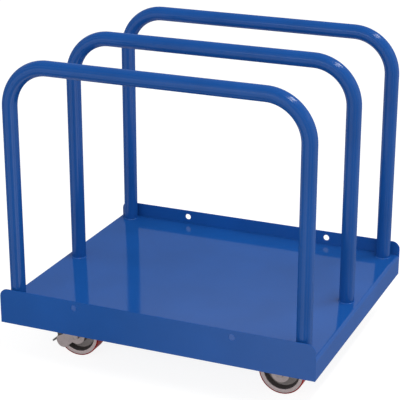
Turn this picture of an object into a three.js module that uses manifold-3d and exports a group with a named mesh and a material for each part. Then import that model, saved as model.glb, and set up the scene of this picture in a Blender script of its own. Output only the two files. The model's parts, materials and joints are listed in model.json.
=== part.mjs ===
// Sheet goods cart: a steel deck on four casters, with three tube dividers that keep standing sheets apart.
// Millimetres, +Z up, floor at Z = 0, +X along the cart towards its rigid casters, front at -Y.

import * as THREE from 'three';
import { mergeVertices } from 'three/addons/utils/BufferGeometryUtils.js';
import Module from 'manifold-3d';

const wasm = await Module();
wasm.setup();

// Fits
const SEAT_GAP = 0.3;
const BORE_CLEARANCE = 0.3;
const SLOT_CLEARANCE = 0.7;

// Sides on round pieces, and steps along the arcs of outlines
const PIN_SEGMENTS = 12;
const SCREW_SEGMENTS = 8;
const RACE_SEGMENTS = 16;
const BOSS_SEGMENTS = 12;
const WHEEL_SEGMENTS = 24;
const HOLE_SEGMENTS = 16;
const CORNER_STEPS = 3;
const OUTLINE_STEPS = 4;
const CHEEK_STEPS = 1;

// Deck, a sheet with its two ends folded down
const DECK_LENGTH = 914.4;
const DECK_WIDTH = 762;
const DECK_SHEET = 3.2;
const DECK_SIDE_DEPTH = 60;
const DECK_FOLD_RADIUS = 9.5;
const DECK_FOLD_STEPS = 5;

// End plates, which stand above the deck as lips
const END_PLATE_SHEET = 3.2;
const END_LIP_HEIGHT = 40.8;
const END_PLATE_CORNER = 23;
const TIE_HOLE_DIAMETER = 18;
const TIE_HOLE_SPACING = 457.2;
const TIE_HOLE_DROP = 20;

// Dividers, bent from round tube
const TUBE_DIAMETER = 41.3;
const TUBE_WALL = 2;
const TUBE_SIDES = 16;
const TUBE_BORE_SIDES = 8;
const DIVIDER_HEIGHT = 690;
const DIVIDER_BEND_RADIUS = 115.5;
const DIVIDER_BEND_STEPS = 6;
const DIVIDER_END_GAP = 21.4;
const DIVIDER_LIP_GAP = 5.7;

// Caster channels, under the deck
const CHANNEL_SHEET = 6;
const CHANNEL_DEPTH = 22;
const CHANNEL_SIDE_GAP = 4;
const CHANNEL_FOLD_RADIUS = 8;

// Where the casters stand, from the deck's edges to the middle of each mounting plate
const CASTER_END_INSET = 131.6;
const SWIVEL_SIDE_INSET = 128.8;
const RIGID_SIDE_INSET = 135.7;

// Wheels
const WHEEL_RADIUS = 63.5;
const WHEEL_WIDTH = 50.8;
const TREAD_THICKNESS = 2.9;
const TREAD_SHOULDER = 2.2;
const RIM_THICKNESS = 10.4;
const RIM_INSET = 1;
const WEB_THICKNESS = 12;
const DISH_FLARE = 4;
const HUB_RADIUS = 21;
const HUB_END_GAP = 1.4;

// Axles
const AXLE_DIAMETER = 12;
const AXLE_BUSH_WALL = 4;
const AXLE_HEX = 19;
const AXLE_HEAD_HEIGHT = 7.5;
const AXLE_NUT_HEIGHT = 10;
const AXLE_THREAD_END = 2.5;

// Mounting plates and their screws
const PLATE_LENGTH = 118;
const PLATE_WIDTH = 102;
const PLATE_THICKNESS = 5;
const PLATE_CORNER = 10;
const SLOT_TRAVEL = 6;
const SCREW_SPACING_X = 94;
const SCREW_SPACING_Y = 76;
const SCREW_DIAMETER = 8;
const SCREW_HEX = 13;
const SCREW_HEAD_HEIGHT = 5.3;

// Forks
const FORK_SHEET = 4.5;
const FORK_SIDE_GAP = 3.6;
const FORK_FOLD_RADIUS = 9;
const FORK_END_RADIUS = 26;
const FORK_BOSS_RADIUS = 16;
const FORK_BOSS_RISE = 1.5;
const CROWN_CLEARANCE = 16.5;

// Swivel forks, with the axle trailing behind the kingpin and a round nose low in front of it
const SWIVEL_OFFSET = 47.6;
const CROWN_FRONT = 33;
const CROWN_REAR = 37;
const THROAT_LEAD = 41;
const THROAT_DROP = 2.7;
const NOSE_LEAD = 41.8;
const NOSE_DROP = 22.5;
const NOSE_RADIUS = 21;
const NOSE_TOP_ANGLE = 154;
const NOSE_HEEL_ANGLE = 328;
const FORK_HEEL_ANGLE = 242;

// Swivel bearings and kingpins
const RACE_HEIGHT = 7;
const RACE_RADIUS = 34;
const RACE_BORE_RADIUS = 20;
const RACE_CHAMFER = 2;
const BEARING_HEIGHT = 4.4;
const BEARING_RADIUS = 31.5;
const BEARING_ROUND = 1.5;
const KINGPIN_DIAMETER = 14;
const KINGPIN_HEAD_RADIUS = 11.5;
const KINGPIN_HEAD_HEIGHT = 2.6;
const KINGPIN_HEX = 24;
const KINGPIN_HEX_HEIGHT = 9;

// Rigid forks, with legs that taper down from the mounting plate
const RIGID_SCREW_GAP = 1.2;
const RIGID_WELD_SINK = 0.5;

// Brakes: a pedal that hangs in front of the tread, its cheeks beside it, its shoe and the pin it rocks on
const PEDAL_SHEET = 4.5;
const PEDAL_NECK_WIDTH = 24;
const PEDAL_FOOT_WIDTH = 36;
const PEDAL_TREAD_GAP = 3.8;
const PEDAL_PIN_ANGLE = 131;
const PEDAL_END_ANGLE = 198;
const PEDAL_EYE_RADIUS = 8;
const PEDAL_PIN_OFFSET = 13;
const PEDAL_FOOT_LENGTH = 22;
const PEDAL_FOOT_ANGLE = 219;
const CHEEK_SHEET = 1.8;
const CHEEK_SIDE_GAP = 0.9;
const CHEEK_INSET = 1;
const CHEEK_DEPTH = 16;
const CHEEK_TOP_ANGLE = 145;
const CHEEK_WEB_ANGLE = 170;
const CHEEK_END_ANGLE = 196;
const BRAKE_PIN_DIAMETER = 8;
const BRAKE_PIN_SHOULDER = 2.5;
const BRAKE_PIN_HEAD_RADIUS = 7;
const BRAKE_PIN_HEAD_HEIGHT = 2;
const SHOE_ANGLE = 158;
const SHOE_LENGTH = 24;
const SHOE_WIDTH = 40;
const SHOE_TREAD_GAP = 0.9;

// Heights, from the floor up
const CROWN_UNDERSIDE = 2 * WHEEL_RADIUS + CROWN_CLEARANCE;
const CROWN_TOP = CROWN_UNDERSIDE + FORK_SHEET;
const RACE_UNDERSIDE = CROWN_TOP + BEARING_HEIGHT + 2 * SEAT_GAP;
const PLATE_UNDERSIDE = RACE_UNDERSIDE + RACE_HEIGHT;
const PLATE_TOP = PLATE_UNDERSIDE + PLATE_THICKNESS;
const CHANNEL_TOP = PLATE_TOP + SEAT_GAP + CHANNEL_SHEET;
const DECK_UNDERSIDE = CHANNEL_TOP + SEAT_GAP;
const DECK_TOP = DECK_UNDERSIDE + DECK_SHEET;
const DECK_BOTTOM_EDGE = DECK_TOP - DECK_SIDE_DEPTH;
const LIP_TOP = DECK_TOP + END_LIP_HEIGHT;

// Half widths across a fork
const FORK_INNER_HALF = WHEEL_WIDTH / 2 + FORK_SIDE_GAP;
const FORK_OUTER_HALF = FORK_INNER_HALF + FORK_SHEET;
const BOSS_FACE = FORK_OUTER_HALF + FORK_BOSS_RISE;

// Where things stand in plan
const CASTER_X = DECK_LENGTH / 2 - CASTER_END_INSET;
const SWIVEL_Y = DECK_WIDTH / 2 - SWIVEL_SIDE_INSET;
const RIGID_Y = DECK_WIDTH / 2 - RIGID_SIDE_INSET;
const DIVIDER_HALF_SPAN = DECK_LENGTH / 2 - DIVIDER_END_GAP - TUBE_DIAMETER / 2;
const DIVIDER_Y = DECK_WIDTH / 2 - DIVIDER_LIP_GAP - TUBE_DIAMETER / 2;
const CHANNEL_HALF = PLATE_LENGTH / 2 + CHANNEL_SIDE_GAP + CHANNEL_SHEET;
const RIGID_TOP_HALF = SCREW_SPACING_X / 2 - SCREW_HEX / Math.sqrt(3) - RIGID_SCREW_GAP;

const UNIT_X = new THREE.Vector3(1, 0, 0);
const UNIT_Y = new THREE.Vector3(0, 1, 0);
const UNIT_Z = new THREE.Vector3(0, 0, 1);
const DEGREES = Math.PI / 180;

function material(color, roughness, metalness) {
  return () => new THREE.MeshStandardMaterial({ color, roughness, metalness });
}

const bluePaint = material(0x1f5596, 0.25, 0.1);
const zincPlate = material(0x9a9492, 0.4, 0.85);
const castIron = material(0x918886, 0.5, 0.7);
const redPolyurethane = material(0x8c2a26, 0.45, 0);
const darkSteel = material(0x4a4746, 0.45, 0.8);
const bronze = material(0x9c7a4a, 0.4, 0.8);
const rubber = material(0x222222, 0.8, 0);

// A closed geometry as a solid for joining and cutting
function solid(geometry) {
  const plain = geometry.index ? geometry.clone() : geometry;
  plain.deleteAttribute('normal');
  plain.deleteAttribute('uv');
  const merged = mergeVertices(plain, 1e-4);
  const index = merged.index.array;
  const kept = [];
  for (let i = 0; i < index.length; i += 3) {
    const [a, b, c] = [index[i], index[i + 1], index[i + 2]];
    if (a !== b && b !== c && c !== a) kept.push(a, b, c);
  }
  return new wasm.Manifold(new wasm.Mesh({
    numProp: 3,
    vertProperties: new Float32Array(merged.attributes.position.array),
    triVerts: new Uint32Array(kept),
  }));
}

// A solid back as a geometry
function geometryOf(body) {
  const mesh = body.getMesh();
  const geometry = new THREE.BufferGeometry();
  geometry.setAttribute('position', new THREE.BufferAttribute(new Float32Array(mesh.vertProperties), 3));
  geometry.setIndex(new THREE.BufferAttribute(new Uint32Array(mesh.triVerts), 1));
  geometry.computeVertexNormals();
  return geometry;
}

function circlePoints(radius, sides, turn = 0) {
  return Array.from({ length: sides }, (_, i) => {
    const angle = turn + (i / sides) * 2 * Math.PI;
    return new THREE.Vector2(radius * Math.cos(angle), radius * Math.sin(angle));
  });
}

function circularHole(x, y, radius, sides, turn = 0) {
  return new THREE.Path(circlePoints(radius, sides, turn).map((point) => point.add(new THREE.Vector2(x, y))));
}

function roundedRectangle(width, height, corner) {
  const [x, y] = [width / 2 - corner, height / 2 - corner];
  const shape = new THREE.Shape();
  shape.absarc(x, -y, corner, -Math.PI / 2, 0);
  shape.absarc(x, y, corner, 0, Math.PI / 2);
  shape.absarc(-x, y, corner, Math.PI / 2, Math.PI);
  shape.absarc(-x, -y, corner, Math.PI, 1.5 * Math.PI);
  return shape;
}

// A slot along X with round ends
function slotPath(x, y, halfWidth, travel) {
  const path = new THREE.Path();
  path.absarc(x + travel / 2, y, halfWidth, -Math.PI / 2, Math.PI / 2);
  path.absarc(x - travel / 2, y, halfWidth, Math.PI / 2, 1.5 * Math.PI);
  return path;
}

// A profile drawn in (X, Y), pushed up from a height
function extrudeUp(shape, bottom, height, curveSegments = CORNER_STEPS) {
  const geometry = new THREE.ExtrudeGeometry(shape, { depth: height, bevelEnabled: false, curveSegments });
  return geometry.translate(0, 0, bottom);
}

// A profile drawn in (X, Z), pushed along Y to both sides of a middle
function extrudeAcross(shape, width, middle = 0, curveSegments = OUTLINE_STEPS) {
  const geometry = new THREE.ExtrudeGeometry(shape, { depth: width, bevelEnabled: false, curveSegments });
  geometry.applyMatrix4(new THREE.Matrix4().makeBasis(UNIT_X, UNIT_Z, UNIT_Y.clone().negate()));
  return geometry.translate(0, middle + width / 2, 0);
}

// A profile drawn in (Y, Z), pushed along X to both sides of the middle
function extrudeLengthways(shape, length, curveSegments = CORNER_STEPS) {
  const geometry = new THREE.ExtrudeGeometry(shape, { depth: length, bevelEnabled: false, curveSegments });
  geometry.applyMatrix4(new THREE.Matrix4().makeBasis(UNIT_Y, UNIT_Z, UNIT_X));
  return geometry.translate(-length / 2, 0, 0);
}

// A profile of (radius, height) pairs turned round the Y axis
function turnAcross(pairs, segments) {
  const points = pairs.map(([radius, along]) => new THREE.Vector2(radius, along));
  return new THREE.LatheGeometry(points, segments, Math.PI / segments);
}

// A profile of (radius, height) pairs turned round the Z axis
function turnUp(pairs, segments) {
  return turnAcross(pairs, segments).rotateX(Math.PI / 2);
}

function cylinderAcross(radius, from, to, segments) {
  return turnAcross([[0, from], [radius, from], [radius, to], [0, to]], segments);
}

function cylinderUp(radius, from, to, segments) {
  return cylinderAcross(radius, from, to, segments).rotateX(Math.PI / 2);
}

function hexRadius(acrossFlats) {
  return acrossFlats / Math.sqrt(3);
}

// An upside-down U of sheet with rounded folds, as a profile
function channelProfile(half, top, bottom, sheet, foldRadius) {
  const inner = Math.max(foldRadius - sheet, 0.5);
  const [innerHalf, innerTop] = [half - sheet, top - sheet];
  const shape = new THREE.Shape();
  shape.moveTo(half, bottom);
  shape.absarc(half - foldRadius, top - foldRadius, foldRadius, 0, Math.PI / 2);
  shape.absarc(foldRadius - half, top - foldRadius, foldRadius, Math.PI / 2, Math.PI);
  shape.lineTo(-half, bottom);
  shape.lineTo(-innerHalf, bottom);
  shape.absarc(inner - innerHalf, innerTop - inner, inner, Math.PI, Math.PI / 2, true);
  shape.absarc(innerHalf - inner, innerTop - inner, inner, Math.PI / 2, 0, true);
  shape.lineTo(innerHalf, bottom);
  return shape;
}

function addPiece(parent, name, geometry, makeMaterial) {
  const mesh = new THREE.Mesh(geometry, makeMaterial());
  mesh.name = name;
  parent.add(mesh);
  return mesh;
}

// Deck: a folded sheet between the end plates

function deckPlate() {
  const profile = channelProfile(DECK_LENGTH / 2, DECK_TOP, DECK_BOTTOM_EDGE, DECK_SHEET, DECK_FOLD_RADIUS);
  return extrudeAcross(profile, DECK_WIDTH - 2 * SEAT_GAP, 0, DECK_FOLD_STEPS);
}

// End plate: flat, with rounded top corners and two tie holes in its lip

function endPlate(side) {
  const half = DECK_LENGTH / 2;
  const corner = END_PLATE_CORNER;
  const shape = new THREE.Shape();
  shape.moveTo(-half, DECK_BOTTOM_EDGE);
  shape.lineTo(half, DECK_BOTTOM_EDGE);
  shape.absarc(half - corner, LIP_TOP - corner, corner, 0, Math.PI / 2);
  shape.absarc(corner - half, LIP_TOP - corner, corner, Math.PI / 2, Math.PI);
  for (const end of [-1, 1]) {
    const x = (end * TIE_HOLE_SPACING) / 2;
    shape.holes.push(circularHole(x, LIP_TOP - TIE_HOLE_DROP, TIE_HOLE_DIAMETER / 2, HOLE_SEGMENTS));
  }
  return extrudeAcross(shape, END_PLATE_SHEET, side * (DECK_WIDTH + END_PLATE_SHEET) / 2);
}

// Divider: the tube's centre line, one straight leg, a bend, the top bar, a bend and the other leg

class DividerPath extends THREE.Curve {
  constructor() {
    super();
    this.bend = DIVIDER_BEND_RADIUS;
    this.foot = DECK_TOP + SEAT_GAP;
    this.bar = DECK_TOP + DIVIDER_HEIGHT - TUBE_DIAMETER / 2;
    this.steps = 2 * DIVIDER_BEND_STEPS + 3;
  }

  getPoint(t, target = new THREE.Vector3()) {
    const station = t * this.steps;
    const mirrored = station > this.steps / 2;
    const run = mirrored ? this.steps - station : station;
    const along = Math.max(run - 1, 0) / DIVIDER_BEND_STEPS;
    const angle = Math.min(along, 1) * Math.PI / 2;
    const legTop = this.bar - this.bend;
    const onLeg = Math.min(run, 1);
    const onBar = Math.max(run - 1 - DIVIDER_BEND_STEPS, 0) * 2;
    const barHalf = DIVIDER_HALF_SPAN - this.bend;
    const x = DIVIDER_HALF_SPAN - this.bend * (1 - Math.cos(angle)) - onBar * barHalf;
    const z = this.foot + onLeg * (legTop - this.foot) + this.bend * Math.sin(angle);
    return target.set(mirrored ? x : -x, 0, z);
  }

  getUtoTmapping(u) {
    return u;
  }
}

function divider() {
  const path = new DividerPath();
  const section = new THREE.Shape(circlePoints(TUBE_DIAMETER / 2, TUBE_SIDES, Math.PI / TUBE_SIDES));
  const bore = circlePoints(TUBE_DIAMETER / 2 - TUBE_WALL, TUBE_BORE_SIDES, Math.PI / TUBE_BORE_SIDES);
  section.holes.push(new THREE.Path(bore));
  return new THREE.ExtrudeGeometry(section, { steps: path.steps, extrudePath: path, bevelEnabled: false });
}

// Caster channel: a shallow channel from end plate to end plate, tapped for two casters

function screwPlaces() {
  const places = [];
  for (const sx of [-1, 1]) {
    for (const sy of [-1, 1]) places.push([(sx * SCREW_SPACING_X) / 2, (sy * SCREW_SPACING_Y) / 2]);
  }
  return places;
}

function casterChannel(casterY) {
  const profile = channelProfile(
    CHANNEL_HALF, CHANNEL_TOP, CHANNEL_TOP - CHANNEL_DEPTH, CHANNEL_SHEET, CHANNEL_FOLD_RADIUS);
  let body = solid(extrudeAcross(profile, DECK_WIDTH - 2 * SEAT_GAP, 0, CORNER_STEPS));
  const radius = SCREW_DIAMETER / 2 + BORE_CLEARANCE;
  for (const side of [-1, 1]) {
    for (const [x, y] of screwPlaces()) {
      const hole = cylinderUp(radius, PLATE_TOP - 1, CHANNEL_TOP + 1, SCREW_SEGMENTS);
      body = body.subtract(solid(hole.translate(x, y + side * casterY, 0)));
    }
  }
  return geometryOf(body);
}

// Mounting plate, the same for every caster, with a slot for each screw

function mountingPlate() {
  const shape = roundedRectangle(PLATE_LENGTH, PLATE_WIDTH, PLATE_CORNER);
  for (const [x, y] of screwPlaces()) {
    shape.holes.push(slotPath(x, y, SCREW_DIAMETER / 2 + SLOT_CLEARANCE, SLOT_TRAVEL));
  }
  return solid(extrudeUp(shape, PLATE_UNDERSIDE, PLATE_THICKNESS));
}

function casterScrew() {
  const underHead = PLATE_UNDERSIDE - SEAT_GAP;
  const head = cylinderUp(hexRadius(SCREW_HEX), underHead - SCREW_HEAD_HEIGHT, underHead, 6);
  const shankFoot = underHead - SCREW_HEAD_HEIGHT / 2;
  const shank = cylinderUp(SCREW_DIAMETER / 2, shankFoot, CHANNEL_TOP, SCREW_SEGMENTS);
  return geometryOf(solid(head).add(solid(shank)));
}

// Wheel: a cast core with a dished web on each side, and a thin tread bonded round its rim

function wheelCore() {
  const rim = WHEEL_RADIUS - TREAD_THICKNESS - SEAT_GAP;
  const dish = rim - RIM_THICKNESS;
  const bore = AXLE_DIAMETER / 2 + BORE_CLEARANCE + AXLE_BUSH_WALL + BORE_CLEARANCE;
  const hub = FORK_INNER_HALF - HUB_END_GAP;
  const face = WHEEL_WIDTH / 2 - RIM_INSET;
  const web = WEB_THICKNESS / 2;
  const half = [[bore, hub], [HUB_RADIUS, hub], [HUB_RADIUS + DISH_FLARE, web], [dish - DISH_FLARE, web],
    [dish, face], [rim, face]];
  const below = half.map(([radius, along]) => [radius, -along]);
  return turnAcross([...below, ...half.reverse(), below[0]], WHEEL_SEGMENTS);
}

// The tread's flats lie on the true radius, so that the cart stands on one at each wheel

function tread() {
  const inner = WHEEL_RADIUS - TREAD_THICKNESS;
  const outer = WHEEL_RADIUS / Math.cos(Math.PI / WHEEL_SEGMENTS);
  const face = WHEEL_WIDTH / 2;
  const half = [[inner, face], [outer - TREAD_SHOULDER, face], [outer, face - TREAD_SHOULDER]];
  const below = half.map(([radius, along]) => [radius, -along]);
  return turnAcross([...below, ...half.reverse(), below[0]], WHEEL_SEGMENTS);
}

// Axle: a bolt through the fork, a bush between its legs for the wheel to run on, and a nut

function axleBolt() {
  const seat = -BOSS_FACE - SEAT_GAP;
  const end = BOSS_FACE + SEAT_GAP + AXLE_NUT_HEIGHT + AXLE_THREAD_END;
  const head = cylinderAcross(hexRadius(AXLE_HEX), seat - AXLE_HEAD_HEIGHT, seat, 6);
  const shank = cylinderAcross(AXLE_DIAMETER / 2, seat - AXLE_HEAD_HEIGHT / 2, end, PIN_SEGMENTS);
  return geometryOf(solid(head).add(solid(shank)));
}

function axleNut() {
  const shape = new THREE.Shape(circlePoints(hexRadius(AXLE_HEX), 6));
  const boreRadius = AXLE_DIAMETER / 2 + BORE_CLEARANCE;
  shape.holes.push(circularHole(0, 0, boreRadius, PIN_SEGMENTS, Math.PI / PIN_SEGMENTS));
  return extrudeAcross(shape, AXLE_NUT_HEIGHT, BOSS_FACE + SEAT_GAP + AXLE_NUT_HEIGHT / 2);
}

function axleBush() {
  const inner = AXLE_DIAMETER / 2 + BORE_CLEARANCE;
  const outer = inner + AXLE_BUSH_WALL;
  const end = FORK_INNER_HALF - SEAT_GAP;
  return turnAcross([[inner, -end], [outer, -end], [outer, end], [inner, end], [inner, -end]], PIN_SEGMENTS);
}

// Fork: a bent yoke of sheet, trimmed to a side outline, with a raised boss round each axle hole

function yoke(outline, crownTop, axleX) {
  const profile = channelProfile(FORK_OUTER_HALF, crownTop, 0, FORK_SHEET, FORK_FOLD_RADIUS);
  const reach = 2 * (RIGID_TOP_HALF + CROWN_REAR + SWIVEL_OFFSET + WHEEL_RADIUS);
  let body = solid(extrudeLengthways(profile, reach));
  body = body.intersect(solid(extrudeAcross(outline, 4 * FORK_OUTER_HALF)));
  for (const side of [-1, 1]) {
    const root = BOSS_FACE - FORK_BOSS_RISE - FORK_SHEET / 2;
    const [near, far] = side < 0 ? [-BOSS_FACE, -root] : [root, BOSS_FACE];
    const boss = cylinderAcross(FORK_BOSS_RADIUS, near, far, BOSS_SEGMENTS);
    body = body.add(solid(boss.translate(axleX, 0, WHEEL_RADIUS)));
  }
  const boreRadius = AXLE_DIAMETER / 2 + BORE_CLEARANCE;
  const bore = cylinderAcross(boreRadius, -2 * BOSS_FACE, 2 * BOSS_FACE, PIN_SEGMENTS);
  return body.subtract(solid(bore.translate(axleX, 0, WHEEL_RADIUS)));
}

// The angle on a circle where a line from a point, given from the circle's centre, touches it

function touchAngle(alongX, alongZ, radius, side) {
  return Math.atan2(alongZ, alongX) + side * Math.acos(radius / Math.hypot(alongX, alongZ));
}

// Side outline of a swivel fork: down its front to the throat, along the nose's flat top and round it, up to
// the heel, round the end at the axle and back up to the crown

function swivelForkOutline() {
  const top = CROWN_TOP + 1;
  const [noseX, noseZ] = [SWIVEL_OFFSET - NOSE_LEAD, WHEEL_RADIUS - NOSE_DROP];
  const rear = touchAngle(CROWN_REAR - SWIVEL_OFFSET, top - WHEEL_RADIUS, FORK_END_RADIUS, -1);
  const shape = new THREE.Shape();
  shape.moveTo(CROWN_REAR, top);
  shape.lineTo(-CROWN_FRONT, top);
  shape.lineTo(SWIVEL_OFFSET - THROAT_LEAD, WHEEL_RADIUS - THROAT_DROP);
  shape.absarc(noseX, noseZ, NOSE_RADIUS, NOSE_TOP_ANGLE * DEGREES, NOSE_HEEL_ANGLE * DEGREES);
  shape.absarc(SWIVEL_OFFSET, WHEEL_RADIUS, FORK_END_RADIUS, FORK_HEEL_ANGLE * DEGREES, rear + 2 * Math.PI);
  return shape;
}

// The pin that a brake pedal rocks on, in the caster's own plane

function pedalPinPlace() {
  const reach = WHEEL_RADIUS + PEDAL_PIN_OFFSET;
  const angle = PEDAL_PIN_ANGLE * DEGREES;
  return [SWIVEL_OFFSET + reach * Math.cos(angle), WHEEL_RADIUS + reach * Math.sin(angle)];
}

function brakePinBore(reach) {
  return cylinderAcross(BRAKE_PIN_DIAMETER / 2 + BORE_CLEARANCE, -reach, reach, PIN_SEGMENTS);
}

function swivelFork() {
  const [pinX, pinZ] = pedalPinPlace();
  const kingpinRadius = KINGPIN_DIAMETER / 2 + BORE_CLEARANCE;
  const kingpinBore = cylinderUp(kingpinRadius, CROWN_UNDERSIDE - 1, CROWN_TOP + 1, PIN_SEGMENTS);
  const pinBore = brakePinBore(2 * BOSS_FACE);
  const body = yoke(swivelForkOutline(), CROWN_TOP, SWIVEL_OFFSET)
    .subtract(solid(kingpinBore))
    .subtract(solid(pinBore.translate(pinX, 0, pinZ)));
  return geometryOf(body);
}

// Side outline of a rigid fork's legs, which taper to a round end at the axle

function rigidForkOutline() {
  const top = PLATE_UNDERSIDE + RIGID_WELD_SINK + 1;
  const right = touchAngle(RIGID_TOP_HALF, top - WHEEL_RADIUS, FORK_END_RADIUS, -1);
  const shape = new THREE.Shape();
  shape.moveTo(RIGID_TOP_HALF, top);
  shape.lineTo(-RIGID_TOP_HALF, top);
  shape.absarc(0, WHEEL_RADIUS, FORK_END_RADIUS, Math.PI - right, 2 * Math.PI + right);
  return shape;
}

function rigidFork() {
  const legs = yoke(rigidForkOutline(), PLATE_UNDERSIDE + RIGID_WELD_SINK, 0);
  return geometryOf(legs.add(mountingPlate()));
}

// Swivel head: a mounting plate with its raceway, a bearing ring and the kingpin that ties the fork on

function swivelTopPlate() {
  const pinRadius = KINGPIN_DIAMETER / 2 + BORE_CLEARANCE;
  const root = PLATE_UNDERSIDE + PLATE_THICKNESS / 4;
  const race = turnUp([
    [RACE_BORE_RADIUS, RACE_UNDERSIDE], [RACE_RADIUS - RACE_CHAMFER, RACE_UNDERSIDE],
    [RACE_RADIUS, RACE_UNDERSIDE + RACE_CHAMFER], [RACE_RADIUS, root],
    [RACE_BORE_RADIUS, root], [RACE_BORE_RADIUS, RACE_UNDERSIDE]], RACE_SEGMENTS);
  const headSeat = PLATE_TOP - KINGPIN_HEAD_HEIGHT - SEAT_GAP;
  const headSink = cylinderUp(KINGPIN_HEAD_RADIUS + BORE_CLEARANCE, headSeat, PLATE_TOP + 1, PIN_SEGMENTS);
  const bore = cylinderUp(pinRadius, PLATE_UNDERSIDE - 1, PLATE_TOP + 1, PIN_SEGMENTS);
  return geometryOf(mountingPlate().add(solid(race)).subtract(solid(headSink)).subtract(solid(bore)));
}

function swivelBearing() {
  const bottom = CROWN_TOP + SEAT_GAP;
  const top = bottom + BEARING_HEIGHT;
  const middle = (bottom + top) / 2;
  const rim = BEARING_RADIUS - BEARING_ROUND;
  return turnUp([
    [RACE_BORE_RADIUS, bottom], [rim, bottom], [BEARING_RADIUS, middle], [rim, top],
    [RACE_BORE_RADIUS, top], [RACE_BORE_RADIUS, bottom]], RACE_SEGMENTS);
}

function kingpin() {
  const headBottom = PLATE_TOP - KINGPIN_HEAD_HEIGHT;
  const hexTop = CROWN_UNDERSIDE - SEAT_GAP;
  const foot = hexTop - KINGPIN_HEX_HEIGHT / 2;
  const radius = KINGPIN_DIAMETER / 2;
  const shank = turnUp([
    [0, foot], [radius, foot], [radius, headBottom], [KINGPIN_HEAD_RADIUS, headBottom],
    [KINGPIN_HEAD_RADIUS, PLATE_TOP], [0, PLATE_TOP]], PIN_SEGMENTS);
  const hex = cylinderUp(hexRadius(KINGPIN_HEX), hexTop - KINGPIN_HEX_HEIGHT, hexTop, 6);
  return geometryOf(solid(shank).add(solid(hex)));
}

// A point at a distance and an angle from the centre

function polar(distance, angle) {
  return new THREE.Vector2(Math.cos(angle), Math.sin(angle)).multiplyScalar(distance);
}

// Side outlines of a brake pedal, drawn round the axle's centre: a neck that curves round in front of the
// tread, and a foot that turns out from the neck's end

function pedalOutlines() {
  const inner = WHEEL_RADIUS + PEDAL_TREAD_GAP;
  const outer = inner + PEDAL_SHEET;
  const [start, end] = [PEDAL_PIN_ANGLE * DEGREES, PEDAL_END_ANGLE * DEGREES];
  const heel = PEDAL_SHEET / inner;
  const neck = new THREE.Shape();
  neck.absarc(0, 0, outer, start, end);
  neck.absarc(0, 0, inner, end + heel, start, true);
  const knee = polar(outer, end);
  const tip = polar(PEDAL_FOOT_LENGTH, PEDAL_FOOT_ANGLE * DEGREES).add(knee);
  const under = polar(PEDAL_SHEET, (PEDAL_FOOT_ANGLE + 90) * DEGREES).add(tip);
  const root = polar((inner + outer) / 2, end - heel);
  return [neck, new THREE.Shape([knee, tip, under, polar(inner, end + heel), root])];
}

// Side outlines of a bent sheet in the neck: its web, and a cheek that hangs beside the tread

function cheekOutlines() {
  const middle = WHEEL_RADIUS + PEDAL_TREAD_GAP + PEDAL_SHEET / 2;
  const [inner, outer] = [middle - CHEEK_SHEET / 2, middle + CHEEK_SHEET / 2];
  const [top, bend] = [CHEEK_TOP_ANGLE * DEGREES, CHEEK_WEB_ANGLE * DEGREES];
  const end = CHEEK_END_ANGLE * DEGREES;
  const rim = WHEEL_RADIUS - CHEEK_INSET;
  const web = new THREE.Shape();
  web.absarc(0, 0, outer, top, bend);
  web.absarc(0, 0, inner, bend, top, true);
  const cheek = new THREE.Shape();
  cheek.absarc(0, 0, outer, top, bend);
  cheek.absarc(0, 0, rim, bend, end);
  cheek.absarc(0, 0, rim - CHEEK_DEPTH, end, top, true);
  return [web, cheek];
}

// Brake pedal: neck and foot, with a rolled eye on the pin, and a web across the neck that joins two cheeks

function brakePedal() {
  const [pinX, pinZ] = pedalPinPlace();
  const [eyeX, eyeZ] = [pinX - SWIVEL_OFFSET, pinZ - WHEEL_RADIUS];
  const eye = new THREE.Shape(circlePoints(PEDAL_EYE_RADIUS, BOSS_SEGMENTS)
    .map((point) => point.add(new THREE.Vector2(eyeX, eyeZ))));
  const bore = brakePinBore(PEDAL_NECK_WIDTH);
  const [neck, foot] = pedalOutlines();
  const [web, cheek] = cheekOutlines();
  const face = WHEEL_WIDTH / 2 + CHEEK_SIDE_GAP;
  let body = solid(extrudeAcross(neck, PEDAL_NECK_WIDTH))
    .add(solid(extrudeAcross(foot, PEDAL_FOOT_WIDTH)))
    .add(solid(extrudeAcross(eye, PEDAL_NECK_WIDTH)))
    .add(solid(extrudeAcross(web, 2 * (face + CHEEK_SHEET), 0, CHEEK_STEPS)));
  for (const side of [-1, 1]) {
    const middle = side * (face + CHEEK_SHEET / 2);
    body = body.add(solid(extrudeAcross(cheek, CHEEK_SHEET, middle, CHEEK_STEPS)));
  }
  return geometryOf(body.subtract(solid(bore.translate(eyeX, 0, eyeZ))));
}

// Brake shoe: a pad on the pedal's inner face, flat towards the tread. Drawn round the axle's centre.

function brakeShoe() {
  const face = WHEEL_RADIUS + SHOE_TREAD_GAP;
  const back = WHEEL_RADIUS + PEDAL_TREAD_GAP - SEAT_GAP;
  const half = SHOE_LENGTH / 2;
  const spread = half / back;
  const shape = new THREE.Shape();
  shape.moveTo(face, -half * 0.8);
  shape.lineTo(back * Math.cos(spread), -half);
  shape.absarc(0, 0, back, -spread, spread);
  shape.lineTo(face, half * 0.8);
  shape.closePath();
  const geometry = extrudeAcross(shape, SHOE_WIDTH);
  return geometry.rotateY(-SHOE_ANGLE * DEGREES);
}

// Brake pin: shoulders keep the pedal in the middle, and a head holds each end in the fork

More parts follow.
